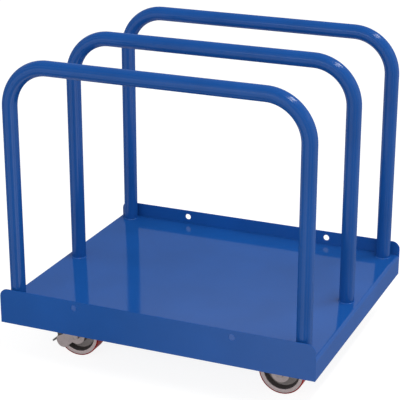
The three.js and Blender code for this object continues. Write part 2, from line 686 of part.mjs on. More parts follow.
function brakePin() {
  const radius = BRAKE_PIN_DIAMETER / 2;
  const shoulder = PEDAL_NECK_WIDTH / 2 + SEAT_GAP;
  const leg = FORK_INNER_HALF - SEAT_GAP;
  const head = FORK_OUTER_HALF + SEAT_GAP;
  const wide = radius + BRAKE_PIN_SHOULDER;
  const end = head + BRAKE_PIN_HEAD_HEIGHT;
  const half = [
    [radius, shoulder], [wide, shoulder], [wide, leg], [radius, leg], [radius, head],
    [BRAKE_PIN_HEAD_RADIUS, head], [BRAKE_PIN_HEAD_RADIUS, end], [0, end]];
  const below = half.map(([r, along]) => [r, -along]);
  return turnAcross([...below.reverse(), ...half], SCREW_SEGMENTS);
}

// The cart, piece by piece

const cart = new THREE.Group();

const frame = new THREE.Group();
cart.add(frame);
addPiece(frame, 'deck_plate', deckPlate(), bluePaint);
addPiece(frame, 'front_end_plate', endPlate(-1), bluePaint);
addPiece(frame, 'rear_end_plate', endPlate(1), bluePaint);
for (const [name, y] of [['front', -DIVIDER_Y], ['middle', 0], ['rear', DIVIDER_Y]]) {
  addPiece(frame, `${name}_divider`, divider(), bluePaint).position.y = y;
}
addPiece(frame, 'left_caster_channel', casterChannel(SWIVEL_Y), bluePaint).position.x = -CASTER_X;
addPiece(frame, 'right_caster_channel', casterChannel(RIGID_Y), bluePaint).position.x = CASTER_X;

// A wheel on its axle, shared by both kinds of caster

function addWheel(caster, name, axleX) {
  const wheel = new THREE.Group();
  wheel.position.set(axleX, 0, WHEEL_RADIUS);
  caster.add(wheel);
  addPiece(wheel, `${name}_axle_bolt`, axleBolt(), zincPlate);
  addPiece(wheel, `${name}_axle_nut`, axleNut(), zincPlate);
  addPiece(wheel, `${name}_axle_bush`, axleBush(), bronze);
  addPiece(wheel, `${name}_wheel_core`, wheelCore(), castIron);
  addPiece(wheel, `${name}_tread`, tread(), redPolyurethane);
  return wheel;
}

function addScrews(caster, name) {
  screwPlaces().forEach(([x, y], i) => {
    addPiece(caster, `${name}_screw_${i + 1}`, casterScrew(), zincPlate).position.set(x, y, 0);
  });
}

function addSwivelCaster(name, x, y) {
  const caster = new THREE.Group();
  caster.position.set(x, y, 0);
  cart.add(caster);
  addPiece(caster, `${name}_top_plate`, swivelTopPlate(), zincPlate);
  addPiece(caster, `${name}_swivel_bearing`, swivelBearing(), darkSteel);
  addPiece(caster, `${name}_kingpin`, kingpin(), zincPlate);
  addPiece(caster, `${name}_fork`, swivelFork(), zincPlate);
  const wheel = addWheel(caster, name, SWIVEL_OFFSET);
  addPiece(wheel, `${name}_brake_pedal`, brakePedal(), darkSteel);
  addPiece(wheel, `${name}_brake_shoe`, brakeShoe(), rubber);
  const [pinX, pinZ] = pedalPinPlace();
  addPiece(caster, `${name}_brake_pin`, brakePin(), zincPlate).position.set(pinX, 0, pinZ);
  addScrews(caster, name);
}

function addRigidCaster(name, x, y) {
  const caster = new THREE.Group();
  caster.position.set(x, y, 0);
  cart.add(caster);
  addPiece(caster, `${name}_fork`, rigidFork(), zincPlate);
  addWheel(caster, name, 0);
  addScrews(caster, name);
}

addSwivelCaster('front_left', -CASTER_X, -SWIVEL_Y);
addSwivelCaster('rear_left', -CASTER_X, SWIVEL_Y);
addRigidCaster('front_right', CASTER_X, -RIGID_Y);
addRigidCaster('rear_right', CASTER_X, RIGID_Y);

export default cart;
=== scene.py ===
# Sheet goods cart: a blue steel deck on four casters, with three bent tube dividers.
# Shapes are drawn in millimetres and become metres when they turn into meshes.

import json
import math

import bmesh
import bpy
from mathutils import Matrix, Vector
from mathutils.geometry import tessellate_polygon


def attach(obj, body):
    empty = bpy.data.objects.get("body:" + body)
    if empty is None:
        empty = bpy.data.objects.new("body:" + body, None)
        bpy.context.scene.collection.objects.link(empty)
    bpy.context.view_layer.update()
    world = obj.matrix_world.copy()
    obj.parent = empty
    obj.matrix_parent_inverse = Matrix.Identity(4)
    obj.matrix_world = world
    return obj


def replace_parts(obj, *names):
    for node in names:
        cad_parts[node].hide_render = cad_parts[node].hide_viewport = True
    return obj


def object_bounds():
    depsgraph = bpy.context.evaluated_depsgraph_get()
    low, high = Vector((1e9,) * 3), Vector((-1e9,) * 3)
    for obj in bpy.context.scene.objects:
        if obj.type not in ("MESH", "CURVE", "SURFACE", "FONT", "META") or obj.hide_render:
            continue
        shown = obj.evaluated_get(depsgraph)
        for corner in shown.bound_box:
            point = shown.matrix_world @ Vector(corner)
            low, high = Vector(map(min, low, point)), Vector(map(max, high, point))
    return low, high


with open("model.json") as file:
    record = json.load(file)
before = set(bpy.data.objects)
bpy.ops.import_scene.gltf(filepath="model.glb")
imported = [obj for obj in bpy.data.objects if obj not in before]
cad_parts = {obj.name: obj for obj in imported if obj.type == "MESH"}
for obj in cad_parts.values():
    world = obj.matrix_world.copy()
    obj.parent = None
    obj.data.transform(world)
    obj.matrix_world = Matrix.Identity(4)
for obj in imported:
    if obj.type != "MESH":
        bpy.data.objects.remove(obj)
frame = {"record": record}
cad_low, cad_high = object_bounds()

MM = 0.001
FULL_TURN = 2 * math.pi
QUARTER_TURN = math.pi / 2

# How far a cutting shape stands past what it cuts, and how far joined shapes reach into each other
OVERCUT = 1.0

# Angles up to which a shape's faces are shaded as one, in degrees
FLAT_ANGLE = 32
TUBE_ANGLE = 40
ROUND_ANGLE = 50
WELD_ANGLE = 60

# Widths of the broken edges on cut and bent pieces
DECK_EDGE = 0.4
SHEET_EDGE = 0.5
FORK_EDGE = 0.6
SHOE_EDGE = 0.8
EDGE_STEPS = 2

# Fits
SEAT_GAP = 0.3
BORE_CLEARANCE = 0.3
SLOT_CLEARANCE = 0.7

# Deck
DECK_LENGTH = 914.4
DECK_WIDTH = 762.0
DECK_SHEET = 3.2
DECK_SIDE_DEPTH = 60.0
DECK_FOLD_RADIUS = 9.5
DECK_FOLD_STEPS = 14

# End plates
END_PLATE_SHEET = 3.2
END_LIP_HEIGHT = 40.8
END_PLATE_CORNER = 23.0
END_CORNER_STEPS = 18
TIE_HOLE_RADIUS = 9.0
TIE_HOLE_SPACING = 457.2
TIE_HOLE_DROP = 20.0
TIE_HOLE_STEPS = 40

# Dividers
TUBE_RADIUS = 20.65
TUBE_WALL = 2.0
TUBE_STEPS = 48
BEND_STEPS = 22
DIVIDER_BEND_RADIUS = 115.5
DIVIDER_END_GAP = 21.4
DIVIDER_LIP_GAP = 5.7
WELD_LEG = 2.4
WELD_RIPPLES = 44
WELD_RIPPLE_DEPTH = 0.35
WELD_RIPPLE_STEPS = 4
WELD_ROOT = 0.6
WELD_CURVE = ((0.3, 0.86), (0.66, 0.58), (0.9, 0.26), (1.0, 0.0))

# Caster channels
CHANNEL_SHEET = 6.0
CHANNEL_DEPTH = 22.0
CHANNEL_SIDE_GAP = 4.0
CHANNEL_FOLD_RADIUS = 8.0
SHEET_FOLD_STEPS = 8

# Casters in plan
CASTER_END_INSET = 131.6
SWIVEL_SIDE_INSET = 128.8
RIGID_SIDE_INSET = 135.7
CASTER_X = DECK_LENGTH / 2 - CASTER_END_INSET
SWIVEL_Y = DECK_WIDTH / 2 - SWIVEL_SIDE_INSET
RIGID_Y = DECK_WIDTH / 2 - RIGID_SIDE_INSET

# Wheels and axles
WHEEL_RADIUS = 63.5
WHEEL_WIDTH = 50.8
TREAD_THICKNESS = 2.9
TREAD_SHOULDER = 2.2
RIM_THICKNESS = 10.4
RIM_INSET = 1.0
WEB_THICKNESS = 12.0
DISH_FLARE = 4.0
HUB_RADIUS = 21.0
HUB_END_GAP = 1.4
CORE_ROUNDING = 4.0
CORE_ROUNDING_STEPS = 5
CORE_STEPS = 96
TREAD_STEPS = 120
TREAD_SHOULDER_STEPS = 6
AXLE_RADIUS = 6.0
AXLE_BUSH_WALL = 4.0
AXLE_BUSH_ROUNDING = 0.4
AXLE_STEPS = 40
AXLE_HEX = 19.0
AXLE_HEAD_HEIGHT = 7.5
AXLE_NUT_HEIGHT = 10.0
AXLE_NUT_COLLAR = 2.6
AXLE_NUT_STEPS = 48
COLLAR_SHARE = 0.93
COLLAR_SINK = 0.4
COLLAR_CHAMFER = 0.9
AXLE_THREAD_END = 2.5
AXLE_THREAD_PITCH = 0.9
AXLE_THREAD_DEPTH = 0.5
AXLE_THREAD_RUNOUT = 2.0

# Mounting plates and their screws
PLATE_LENGTH = 118.0
PLATE_WIDTH = 102.0
PLATE_THICKNESS = 5.0
PLATE_CORNER = 10.0
PLATE_CORNER_STEPS = 8
SLOT_TRAVEL = 6.0
SLOT_STEPS = 12
SCREW_SPACING_X = 94.0
SCREW_SPACING_Y = 76.0
SCREW_RADIUS = 4.0
SCREW_STEPS = 32
SCREW_HEX = 13.0
SCREW_HEAD_HEIGHT = 5.3

# Forks
FORK_SHEET = 4.5
FORK_SIDE_GAP = 3.6
FORK_FOLD_RADIUS = 9.0
FORK_END_RADIUS = 26.0
FORK_BOSS_RADIUS = 16.0
FORK_BOSS_RISE = 1.5
FORK_BOSS_STEPS = 56
FORK_BLANK = 400.0
SWIVEL_END_STEPS = 20
RIGID_END_STEPS = 32
CROWN_CLEARANCE = 16.5
SWIVEL_OFFSET = 47.6
CROWN_FRONT = 33.0
CROWN_REAR = 37.0
THROAT_LEAD = 41.0
THROAT_DROP = 2.7
NOSE_LEAD = 41.8
NOSE_DROP = 22.5
NOSE_RADIUS = 21.0
NOSE_TOP_ANGLE = math.radians(154)
NOSE_HEEL_ANGLE = math.radians(328)
NOSE_STEPS = 24
FORK_HEEL_ANGLE = math.radians(242)
RIGID_SCREW_GAP = 1.2
RIGID_WELD_SINK = 0.5

# Swivel heads
RACE_HEIGHT = 7.0
RACE_RADIUS = 34.0
RACE_BORE_RADIUS = 20.0
RACE_ROUND = 2.0
RACE_ROUND_STEPS = 5
RACE_STEPS = 72
BEARING_HEIGHT = 4.4
BEARING_RADIUS = 31.5
BEARING_BULGE = 1.5
BEARING_ROUNDING = 2.0
BEARING_ROUNDING_STEPS = 6
KINGPIN_RADIUS = 7.0
KINGPIN_STEPS = 48
KINGPIN_BORE_STEPS = 40
KINGPIN_CHAMFER = 0.6
KINGPIN_HEAD_RADIUS = 11.5
KINGPIN_HEAD_HEIGHT = 2.6
KINGPIN_HEX = 24.0
KINGPIN_HEX_HEIGHT = 9.0

# Brakes
PEDAL_SHEET = 4.5
PEDAL_NECK_WIDTH = 24.0
PEDAL_FOOT_WIDTH = 36.0
PEDAL_TREAD_GAP = 3.8
PEDAL_PIN_ANGLE = math.radians(131)
PEDAL_END_ANGLE = math.radians(198)
PEDAL_EYE_RADIUS = 8.0
PEDAL_PIN_OFFSET = 13.0
PEDAL_FOOT_LENGTH = 22.0
PEDAL_FOOT_ANGLE = math.radians(219)
PEDAL_STEPS = 30
PEDAL_EYE_STEPS = 40
CHEEK_SHEET = 1.8
CHEEK_SIDE_GAP = 0.9
CHEEK_INSET = 1.0
CHEEK_DEPTH = 16.0
CHEEK_TOP_ANGLE = math.radians(145)
CHEEK_WEB_ANGLE = math.radians(170)
CHEEK_END_ANGLE = math.radians(196)
CHEEK_STEPS = 12
CHEEK_INNER_STEPS = 20
BRAKE_PIN_RADIUS = 4.0
BRAKE_PIN_SHOULDER = 2.5
BRAKE_PIN_HEAD_RADIUS = 7.0
BRAKE_PIN_HEAD_HEIGHT = 2.0
BRAKE_PIN_HEAD_EDGE = 0.4
BRAKE_PIN_DOME_STEPS = 6
BRAKE_PIN_STEPS = 36
BRAKE_PIN_BORE_STEPS = 32
SHOE_ANGLE = math.radians(158)
SHOE_LENGTH = 24.0
SHOE_WIDTH = 40.0
SHOE_TREAD_GAP = 0.9
SHOE_FACE_SHARE = 0.8
SHOE_STEPS = 10

# Heights from the floor up
CROWN_UNDERSIDE = 2 * WHEEL_RADIUS + CROWN_CLEARANCE
CROWN_TOP = CROWN_UNDERSIDE + FORK_SHEET
RACE_UNDERSIDE = CROWN_TOP + BEARING_HEIGHT + 2 * SEAT_GAP
PLATE_UNDERSIDE = RACE_UNDERSIDE + RACE_HEIGHT
PLATE_TOP = PLATE_UNDERSIDE + PLATE_THICKNESS
CHANNEL_TOP = PLATE_TOP + SEAT_GAP + CHANNEL_SHEET
DECK_TOP = CHANNEL_TOP + SEAT_GAP + DECK_SHEET
DECK_BOTTOM_EDGE = DECK_TOP - DECK_SIDE_DEPTH
LIP_TOP = DECK_TOP + END_LIP_HEIGHT

# Half widths across a fork, and where things stand in plan
FORK_INNER_HALF = WHEEL_WIDTH / 2 + FORK_SIDE_GAP
FORK_OUTER_HALF = FORK_INNER_HALF + FORK_SHEET
BOSS_FACE = FORK_OUTER_HALF + FORK_BOSS_RISE
DIVIDER_HALF_SPAN = DECK_LENGTH / 2 - DIVIDER_END_GAP - TUBE_RADIUS
DIVIDER_Y = DECK_WIDTH / 2 - DIVIDER_LIP_GAP - TUBE_RADIUS
DIVIDER_BAR = cad_high[2] / MM - TUBE_RADIUS
CHANNEL_HALF = PLATE_LENGTH / 2 + CHANNEL_SIDE_GAP + CHANNEL_SHEET
RIGID_TOP_HALF = SCREW_SPACING_X / 2 - SCREW_HEX / math.sqrt(3) - RIGID_SCREW_GAP

# Which body and finish each node of the frame has
BODY_OF = {node: body for body, nodes in frame["record"]["behaviour"]["bodies"].items() for node in nodes}
SLOT_OF = {part["node"]: part["material_slot"] for part in frame["record"]["subparts"]}


# Shapes: a list of points and a list of faces


def moved(shape, matrix):
    points, faces = shape
    return [matrix @ Vector(point) for point in points], faces


def shifted(shape, x=0.0, y=0.0, z=0.0):
    return moved(shape, Matrix.Translation((x, y, z)))


def joined(*shapes):
    points = []
    faces = []
    for more_points, more_faces in shapes:
        start = len(points)
        points.extend(more_points)
        faces.extend(tuple(start + i for i in face) for face in more_faces)
    return points, faces


def arc(x, y, radius, start, end, steps):
    angles = [start + (end - start) * i / steps for i in range(steps + 1)]
    return [(x + radius * math.cos(a), y + radius * math.sin(a)) for a in angles]


def circle(x, y, radius, steps):
    return arc(x, y, radius, 0, FULL_TURN, steps)[:-1]


# Points nearer to each other than this are one point, in a shape and where shapes were joined or cut

MERGE = 1e-4
JOIN_MERGE = 0.1


def weld(mesh, distance):
    work = bmesh.new()
    work.from_mesh(mesh)
    bmesh.ops.remove_doubles(work, verts=work.verts, dist=distance)
    bmesh.ops.recalc_face_normals(work, faces=work.faces)
    work.to_mesh(mesh)
    work.free()


def mesh_of(shape, scale=1.0):
    points, faces = shape
    mesh = bpy.data.meshes.new("shape")
    mesh.from_pydata([Vector(point) * scale for point in points], [], faces)
    weld(mesh, MERGE * scale)
    return mesh


def shape_of(mesh):
    return [v.co.copy() for v in mesh.vertices], [tuple(p.vertices) for p in mesh.polygons]


# A flat outline with holes is cut into triangles, which grow together into few faces without rings


def flat_faces(loops):
    if len(loops) == 1:
        return [tuple(range(len(loops[0])))]
    points = [Vector((x, y, 0)) for loop in loops for x, y in loop]
    triangles = []
    for a, b, c in tessellate_polygon([[Vector((x, y, 0)) for x, y in loop] for loop in loops]):
        upwards = (points[b] - points[a]).cross(points[c] - points[a]).z > 0
        triangles.append((a, b, c) if upwards else (a, c, b))
    faces = []
    while triangles:
        face = list(triangles.pop(0))
        before = 0
        while before != len(face):
            before = len(face)
            triangles = [triangle for triangle in triangles if not taken_in(face, triangle)]
        faces.append(tuple(face))
    return faces


# A face takes in a triangle that shares one of its edges and whose third point is new to it


def taken_in(face, triangle):
    for r in range(3):
        a, b, c = triangle[r], triangle[(r + 1) % 3], triangle[(r + 2) % 3]
        if c in face or a not in face or b not in face:
            continue
        i = face.index(b)
        if face[(i + 1) % len(face)] == a:
            face.insert(i + 1, c)
            return True
    return False


# A flat outline with holes, drawn in (X, Y) and pushed up from Z = 0


def prism(outline, height, holes=()):
    loops = [outline, *holes]
    count = sum(len(loop) for loop in loops)
    points = [Vector((x, y, z)) for z in (0, height) for loop in loops for x, y in loop]
    bottom = flat_faces(loops)
    faces = [*bottom, *(tuple(count + i for i in face) for face in bottom)]
    start = 0
    for loop in loops:
        ring = [start + i for i in range(len(loop))]
        faces += [(i, k, count + k, count + i) for i, k in zip(ring, [*ring[1:], start])]
        start += len(loop)
    return points, faces


# (X, Z) outline pushed along Y, and (Y, Z) outline pushed along X, both about a middle

ACROSS = Matrix(((1, 0, 0, 0), (0, 0, -1, 0), (0, 1, 0, 0), (0, 0, 0, 1)))
LENGTHWAYS = Matrix(((0, 0, 1, 0), (1, 0, 0, 0), (0, 1, 0, 0), (0, 0, 0, 1)))


def prism_across(outline, width, middle=0.0, holes=()):
    return shifted(moved(prism(outline, width, holes), ACROSS), y=middle + width / 2)


def prism_lengthways(outline, length):
    return shifted(moved(prism(outline, length), LENGTHWAYS), x=-length / 2)


# A profile of (radius, height) pairs turned round Z. A closed profile makes a ring.


def turned(profile, segments, closed=False):
    points = []
    faces = []
    count = len(profile)
    for i in range(segments):
        angle = FULL_TURN * i / segments
        points.extend(Vector((r * math.cos(angle), r * math.sin(angle), z)) for r, z in profile)
    for i in range(segments):
        here = i * count
        there = ((i + 1) % segments) * count
        for j in range(count if closed else count - 1):
            k = (j + 1) % count
            faces.append((here + j, there + j, there + k, here + k))
    return points, faces


UP_TO_ACROSS = Matrix.Rotation(QUARTER_TURN, 4, "X")


def turned_across(profile, segments, closed=False):
    return moved(turned(profile, segments, closed), UP_TO_ACROSS)


def rod(radius, low, high, segments):
    return turned([(0, low), (radius, low), (radius, high), (0, high)], segments)


# A profile with its inner corners rounded, each by less than half of its shorter side

ROUNDING_LIMIT = 2.2


def softened(profile, radius, steps, closed=False):
    out = []
    count = len(profile)
    for i, corner in enumerate(profile):
        if not closed and i in (0, count - 1):
            out.append(corner)
            continue
        here = Vector(corner)
        before = Vector(profile[i - 1]) - here
        after = Vector(profile[(i + 1) % count]) - here
        reach = min(radius, before.length / ROUNDING_LIMIT, after.length / ROUNDING_LIMIT)
        a = here + before.normalized() * reach
        b = here + after.normalized() * reach
        for s in range(steps + 1):
            t = s / steps
            point = a * (1 - t) ** 2 + here * 2 * t * (1 - t) + b * t ** 2
            out.append((point.x, point.y))
    return out


# A hexagon with its corners turned down to a cone, as on a bolt head or nut

HEX_SIDES = 6
HEX_RINGS = 6
HEX_STEPS = 8
HEX_SLOPE = math.tan(math.radians(30))
HEX_FLAT_SHARE = 0.97


def hexagon(across, low, high, bore=0.0, cone_low=False, cone_high=True):
    half = across / 2
    flat_circle = half * HEX_FLAT_SHARE
    rings = [[] for _ in range(HEX_RINGS)]
    count = HEX_SIDES * HEX_STEPS
    side = FULL_TURN / HEX_SIDES
    for i in range(count):
        angle = FULL_TURN * i / count
        local = (angle + side / 2) % side - side / 2
        edge = half / math.cos(local)
        drop = (edge - flat_circle) * HEX_SLOPE
        heights = (low, low, low + (drop if cone_low else 0), high - (drop if cone_high else 0), high, high)
        radii = (bore, flat_circle, edge, edge, flat_circle, bore)
        for ring, radius, height in zip(rings, radii, heights):
            ring.append(Vector((radius * math.cos(angle), radius * math.sin(angle), height)))
    points = [point for ring in rings for point in ring]
    faces = []
    for r in range(HEX_RINGS if bore else HEX_RINGS - 1):
        for i in range(count):
            k = (i + 1) % count
            s = (r + 1) % HEX_RINGS
            faces.append((r * count + i, r * count + k, s * count + k, s * count + i))
    return points, faces


# Joining and cutting


def object_of(shape):
    obj = bpy.data.objects.new("work", mesh_of(shape))
    bpy.context.scene.collection.objects.link(obj)
    return obj


def combined(base, operation, *tools):
    for tool in tools:
        first = object_of(base)
        second = object_of(tool)
        modifier = first.modifiers.new("join", "BOOLEAN")
        modifier.operation = operation
        modifier.solver = "EXACT"
        modifier.object = second
        graph = bpy.context.evaluated_depsgraph_get()
        mesh = bpy.data.meshes.new_from_object(first.evaluated_get(graph))
        weld(mesh, JOIN_MERGE)
        base = shape_of(mesh)
        old = [first.data, second.data, mesh]
        bpy.data.objects.remove(first)
        bpy.data.objects.remove(second)
        for data in old:
            bpy.data.meshes.remove(data)
    return base


# Materials. Values pass from node to node as sockets.


def feed(tree, node, socket, value):
    if isinstance(value, bpy.types.NodeSocket):
        tree.links.new(value, node.inputs[socket])
    else:
        node.inputs[socket].default_value = value


def calculated(tree, operation, *values, kind="ShaderNodeMath", output="Value"):
    node = tree.nodes.new(kind)
    node.operation = operation
    for i, value in enumerate(values):
        feed(tree, node, i, value)
    return node.outputs[output]


def vector_length(tree, vector):
    return calculated(tree, "LENGTH", vector, kind="ShaderNodeVectorMath")


def vector_product(tree, first, second):
    return calculated(tree, "MULTIPLY", first, second, kind="ShaderNodeVectorMath", output="Vector")


def started(name):
    material = bpy.data.materials.new(name)
    material.use_nodes = True
    tree = material.node_tree
    return material, tree, tree.nodes["Principled BSDF"]


def object_place(tree):
    return tree.nodes.new("ShaderNodeTexCoord").outputs["Object"]


def apart(tree, vector):
    split = tree.nodes.new("ShaderNodeSeparateXYZ")
    feed(tree, split, "Vector", vector)
    return [split.outputs[axis] for axis in "XYZ"]


def noise(tree, place, scale, detail):
    node = tree.nodes.new("ShaderNodeTexNoise")
    feed(tree, node, "Scale", scale)
    feed(tree, node, "Detail", detail)
    feed(tree, node, "Vector", place)
    return node.outputs["Fac"]


def ramp(tree, value, stops):
    node = tree.nodes.new("ShaderNodeValToRGB")
    elements = node.color_ramp.elements
    while len(elements) < len(stops):
        elements.new(0.5)
    for element, (place, color) in zip(elements, stops):
        element.position = place
        element.color = (*color, 1)
    feed(tree, node, "Fac", value)
    return node.outputs["Color"]


# Where most of a noise lies, for its colours and for its gloss

TONE_START = 0.3
TONE_END = 0.7
GLOSS_START = 0.25
GLOSS_END = 0.75


def spread(tree, value, low, high, start=GLOSS_START, end=GLOSS_END):
    node = tree.nodes.new("ShaderNodeMapRange")
    feed(tree, node, "From Min", start)
    feed(tree, node, "From Max", end)
    feed(tree, node, "To Min", low)
    feed(tree, node, "To Max", high)
    feed(tree, node, "Value", value)
    return node.outputs["Result"]


def bumped(tree, shader, height, strength, distance):
    node = tree.nodes.new("ShaderNodeBump")
    feed(tree, node, "Strength", strength)
    feed(tree, node, "Distance", distance)
    feed(tree, node, "Height", height)
    feed(tree, shader, "Normal", node.outputs["Normal"])


# A surface whose colour and gloss wander a little over a fine bump. A noise is its scale and detail,
# and a bump is a noise with its strength and its height in metres.


def mottled(name, tone, dark, light, gloss, roughness, bump=None, settings=None):
    material, tree, shader = started(name)
    place = object_place(tree)
    color = ramp(tree, noise(tree, place, *tone), [(TONE_START, dark), (TONE_END, light)])
    feed(tree, shader, "Base Color", color)
    feed(tree, shader, "Roughness", spread(tree, noise(tree, place, *gloss), *roughness))
    if bump:
        scale, detail, strength, distance = bump
        bumped(tree, shader, noise(tree, place, scale, detail), strength, distance)
    for socket, value in (settings or {}).items():
        feed(tree, shader, socket, value)
    return material


# Blue paint with a clear coat. The coat's weight is a number, or a function that makes it for a node tree.

BLUE = (0.0095, 0.081, 0.325)
BLUE_DARK_SHARE = 0.93
BLUE_LIGHT_SHARE = 1.07


def tinted(color, share):
    return tuple(channel * share for channel in color)


# A copy whose share is above 1 has painted light in its blue, and a copy below 1 has painted shade
def blue_paint(name, share, coat, coat_roughness, coat_ior=4.0):
    material = mottled(
        name,
        tone=(5, 3),
        dark=tinted(BLUE, share * BLUE_DARK_SHARE),
        light=tinted(BLUE, share * BLUE_LIGHT_SHARE),
        gloss=(22, 2),
        roughness=(0.07, 0.12),
        bump=(420, 1, 0.04, 0.0004),
        settings={"Specular IOR Level": 0.0, "Coat IOR": coat_ior, "Coat Roughness": coat_roughness},
    )
    tree = material.node_tree
    weight = coat(tree) if callable(coat) else coat
    feed(tree, tree.nodes["Principled BSDF"], "Coat Weight", weight)
    return material


# Where a point of a divider lies in the tube's round section: out from the tube's line, and to its side


def tube_section(tree):
    x, y, z = apart(tree, object_place(tree))
    bend = DIVIDER_BEND_RADIUS
    corner_x = DIVIDER_HALF_SPAN - bend
    corner_z = DIVIDER_BAR - bend
    aside = calculated(tree, "SUBTRACT", calculated(tree, "ABSOLUTE", x), corner_x * MM)
    above = calculated(tree, "SUBTRACT", z, corner_z * MM)
    corner = tree.nodes.new("ShaderNodeCombineXYZ")
    feed(tree, corner, "X", calculated(tree, "MAXIMUM", aside, 0.0))
    feed(tree, corner, "Y", calculated(tree, "MAXIMUM", above, 0.0))
    reach = vector_length(tree, corner.outputs["Vector"])
    section = tree.nodes.new("ShaderNodeCombineXYZ")
    feed(tree, section, "X", calculated(tree, "SUBTRACT", reach, bend * MM))
    feed(tree, section, "Y", y)
    return section.outputs["Vector"]


# The tubes' gloss runs in faint streaks along their length

STREAK_NOISE = (200, 2)
STREAK_START = 0.42
STREAK_END = 0.7
STREAK_COATS = (0.05, 0.36)


def tube_coat(tree):
    streaks = noise(tree, tube_section(tree), *STREAK_NOISE)
    return spread(tree, streaks, *STREAK_COATS, STREAK_START, STREAK_END)


# The front plate's gloss rises towards the rigid casters, between two places along X in metres

PLATE_COAT_START = -0.15
PLATE_COAT_END = 0.4
PLATE_COATS = (0.024, 0.078)


def plate_coat(tree):
    x, _, _ = apart(tree, object_place(tree))
    return spread(tree, x, *PLATE_COATS, PLATE_COAT_START, PLATE_COAT_END)


# Zinc plate: a cloudy grey, broken up by small flakes

ZINC_CLOUDS = (35, 4)
ZINC_FLAKE_SCALE = 240
ZINC_FLAKE_SHARE = 0.3
ZINC_STOPS = [(0.2, (0.25, 0.214, 0.215)), (0.75, (0.34, 0.292, 0.293))]
ZINC_GLOSS = (90, 3)
ZINC_ROUGHNESS = (0.3, 0.46)
ZINC_METALLIC = 0.9
ZINC_GRAIN = (700, 2)
ZINC_GRAIN_STRENGTH = 0.08
ZINC_GRAIN_HEIGHT = 0.0003


def zinc_steel():
    material, tree, shader = started("zinc_steel")
    place = object_place(tree)
    flakes = tree.nodes.new("ShaderNodeTexVoronoi")
    feed(tree, flakes, "Scale", ZINC_FLAKE_SCALE)
    feed(tree, flakes, "Vector", place)
    mixed = tree.nodes.new("ShaderNodeMix")
    feed(tree, mixed, "Factor", ZINC_FLAKE_SHARE)
    feed(tree, mixed, "A", noise(tree, place, *ZINC_CLOUDS))
    feed(tree, mixed, "B", flakes.outputs["Distance"])
    feed(tree, shader, "Base Color", ramp(tree, mixed.outputs["Result"], ZINC_STOPS))
    feed(tree, shader, "Roughness", spread(tree, noise(tree, place, *ZINC_GLOSS), *ZINC_ROUGHNESS))
    feed(tree, shader, "Metallic", ZINC_METALLIC)
    bumped(tree, shader, noise(tree, place, *ZINC_GRAIN), ZINC_GRAIN_STRENGTH, ZINC_GRAIN_HEIGHT)
    return material


# The core's rim is turned bright, and its hub and web are a darker cast grey. The wall of its dish is
# darker still, which is painted shade in the recess. Places along the radius are shares of the wheel's
# radius.

CORE_HUB = (0.2, 0.177, 0.173)
DISH_WALL_PAINTED_SHADE = (0.14, 0.123, 0.12)
CORE_RIM = (0.44, 0.368, 0.366)
CORE_HUB_FADE = 0.05
CORE_RIM_BEFORE = 0.006
CORE_RIM_PAST = 0.003
CORE_GRAIN = (300, 4)
CORE_DARK_FLECK = (0.86, 0.86, 0.86)
CORE_LIGHT_FLECK = (1.08, 1.08, 1.08)
CORE_ROUGHNESS = (0.4, 0.55)
CORE_METALLIC = 0.6
CORE_GRAIN_STRENGTH = 0.15
CORE_GRAIN_HEIGHT = 0.0004


def wheel_core():
    material, tree, shader = started("wheel_core")
    place = object_place(tree)
    grain = noise(tree, place, *CORE_GRAIN)
    reach = vector_length(tree, vector_product(tree, place, (1, 0, 1)))
    share = calculated(tree, "DIVIDE", reach, WHEEL_RADIUS * MM)
    dish = (WHEEL_RADIUS - TREAD_THICKNESS - RIM_THICKNESS) / WHEEL_RADIUS
    wall = dish - DISH_FLARE / WHEEL_RADIUS
    # The dish wall's darker tone is painted shade in the recess
    tone = ramp(tree, share, [
        (wall - CORE_HUB_FADE, CORE_HUB), (wall, DISH_WALL_PAINTED_SHADE),
        (dish - CORE_RIM_BEFORE, DISH_WALL_PAINTED_SHADE), (dish + CORE_RIM_PAST, CORE_RIM)])
    flecks = ramp(tree, grain, [(TONE_START, CORE_DARK_FLECK), (TONE_END, CORE_LIGHT_FLECK)])
    feed(tree, shader, "Base Color", vector_product(tree, tone, flecks))
    feed(tree, shader, "Roughness", spread(tree, grain, *CORE_ROUGHNESS))
    feed(tree, shader, "Metallic", CORE_METALLIC)
    bumped(tree, shader, grain, CORE_GRAIN_STRENGTH, CORE_GRAIN_HEIGHT)
    return material


def dark_steel():
    return mottled(
        "dark_steel",
        tone=(60, 4),
        dark=(0.06, 0.057, 0.055),
        light=(0.12, 0.113, 0.11),
        gloss=(120, 3),
        roughness=(0.32, 0.5),
        bump=(800, 2, 0.1, 0.0003),
        settings={"Metallic": 0.7},
    )


def red_tread():
    return mottled(
        "tread",
        tone=(45, 4),
        dark=(0.31, 0.009, 0.008),
        light=(0.385, 0.012, 0.011),
        gloss=(160, 3),
        roughness=(0.45, 0.6),
        bump=(500, 3, 0.1, 0.0003),
        settings={"Specular IOR Level": 0.1},
    )


def bronze_bush():
    return mottled(
        "bush",
        tone=(80, 3),
        dark=(0.30, 0.18, 0.07),
        light=(0.42, 0.27, 0.12),
        gloss=(150, 3),
        roughness=(0.3, 0.45),
        settings={"Metallic": 0.9},
    )


def black_shoe():
    return mottled(
        "shoe",
        tone=(120, 4),
        dark=(0.012, 0.012, 0.012),
        light=(0.03, 0.029, 0.028),
        gloss=(260, 3),
        roughness=(0.6, 0.85),
        bump=(900, 3, 0.2, 0.0003),
    )


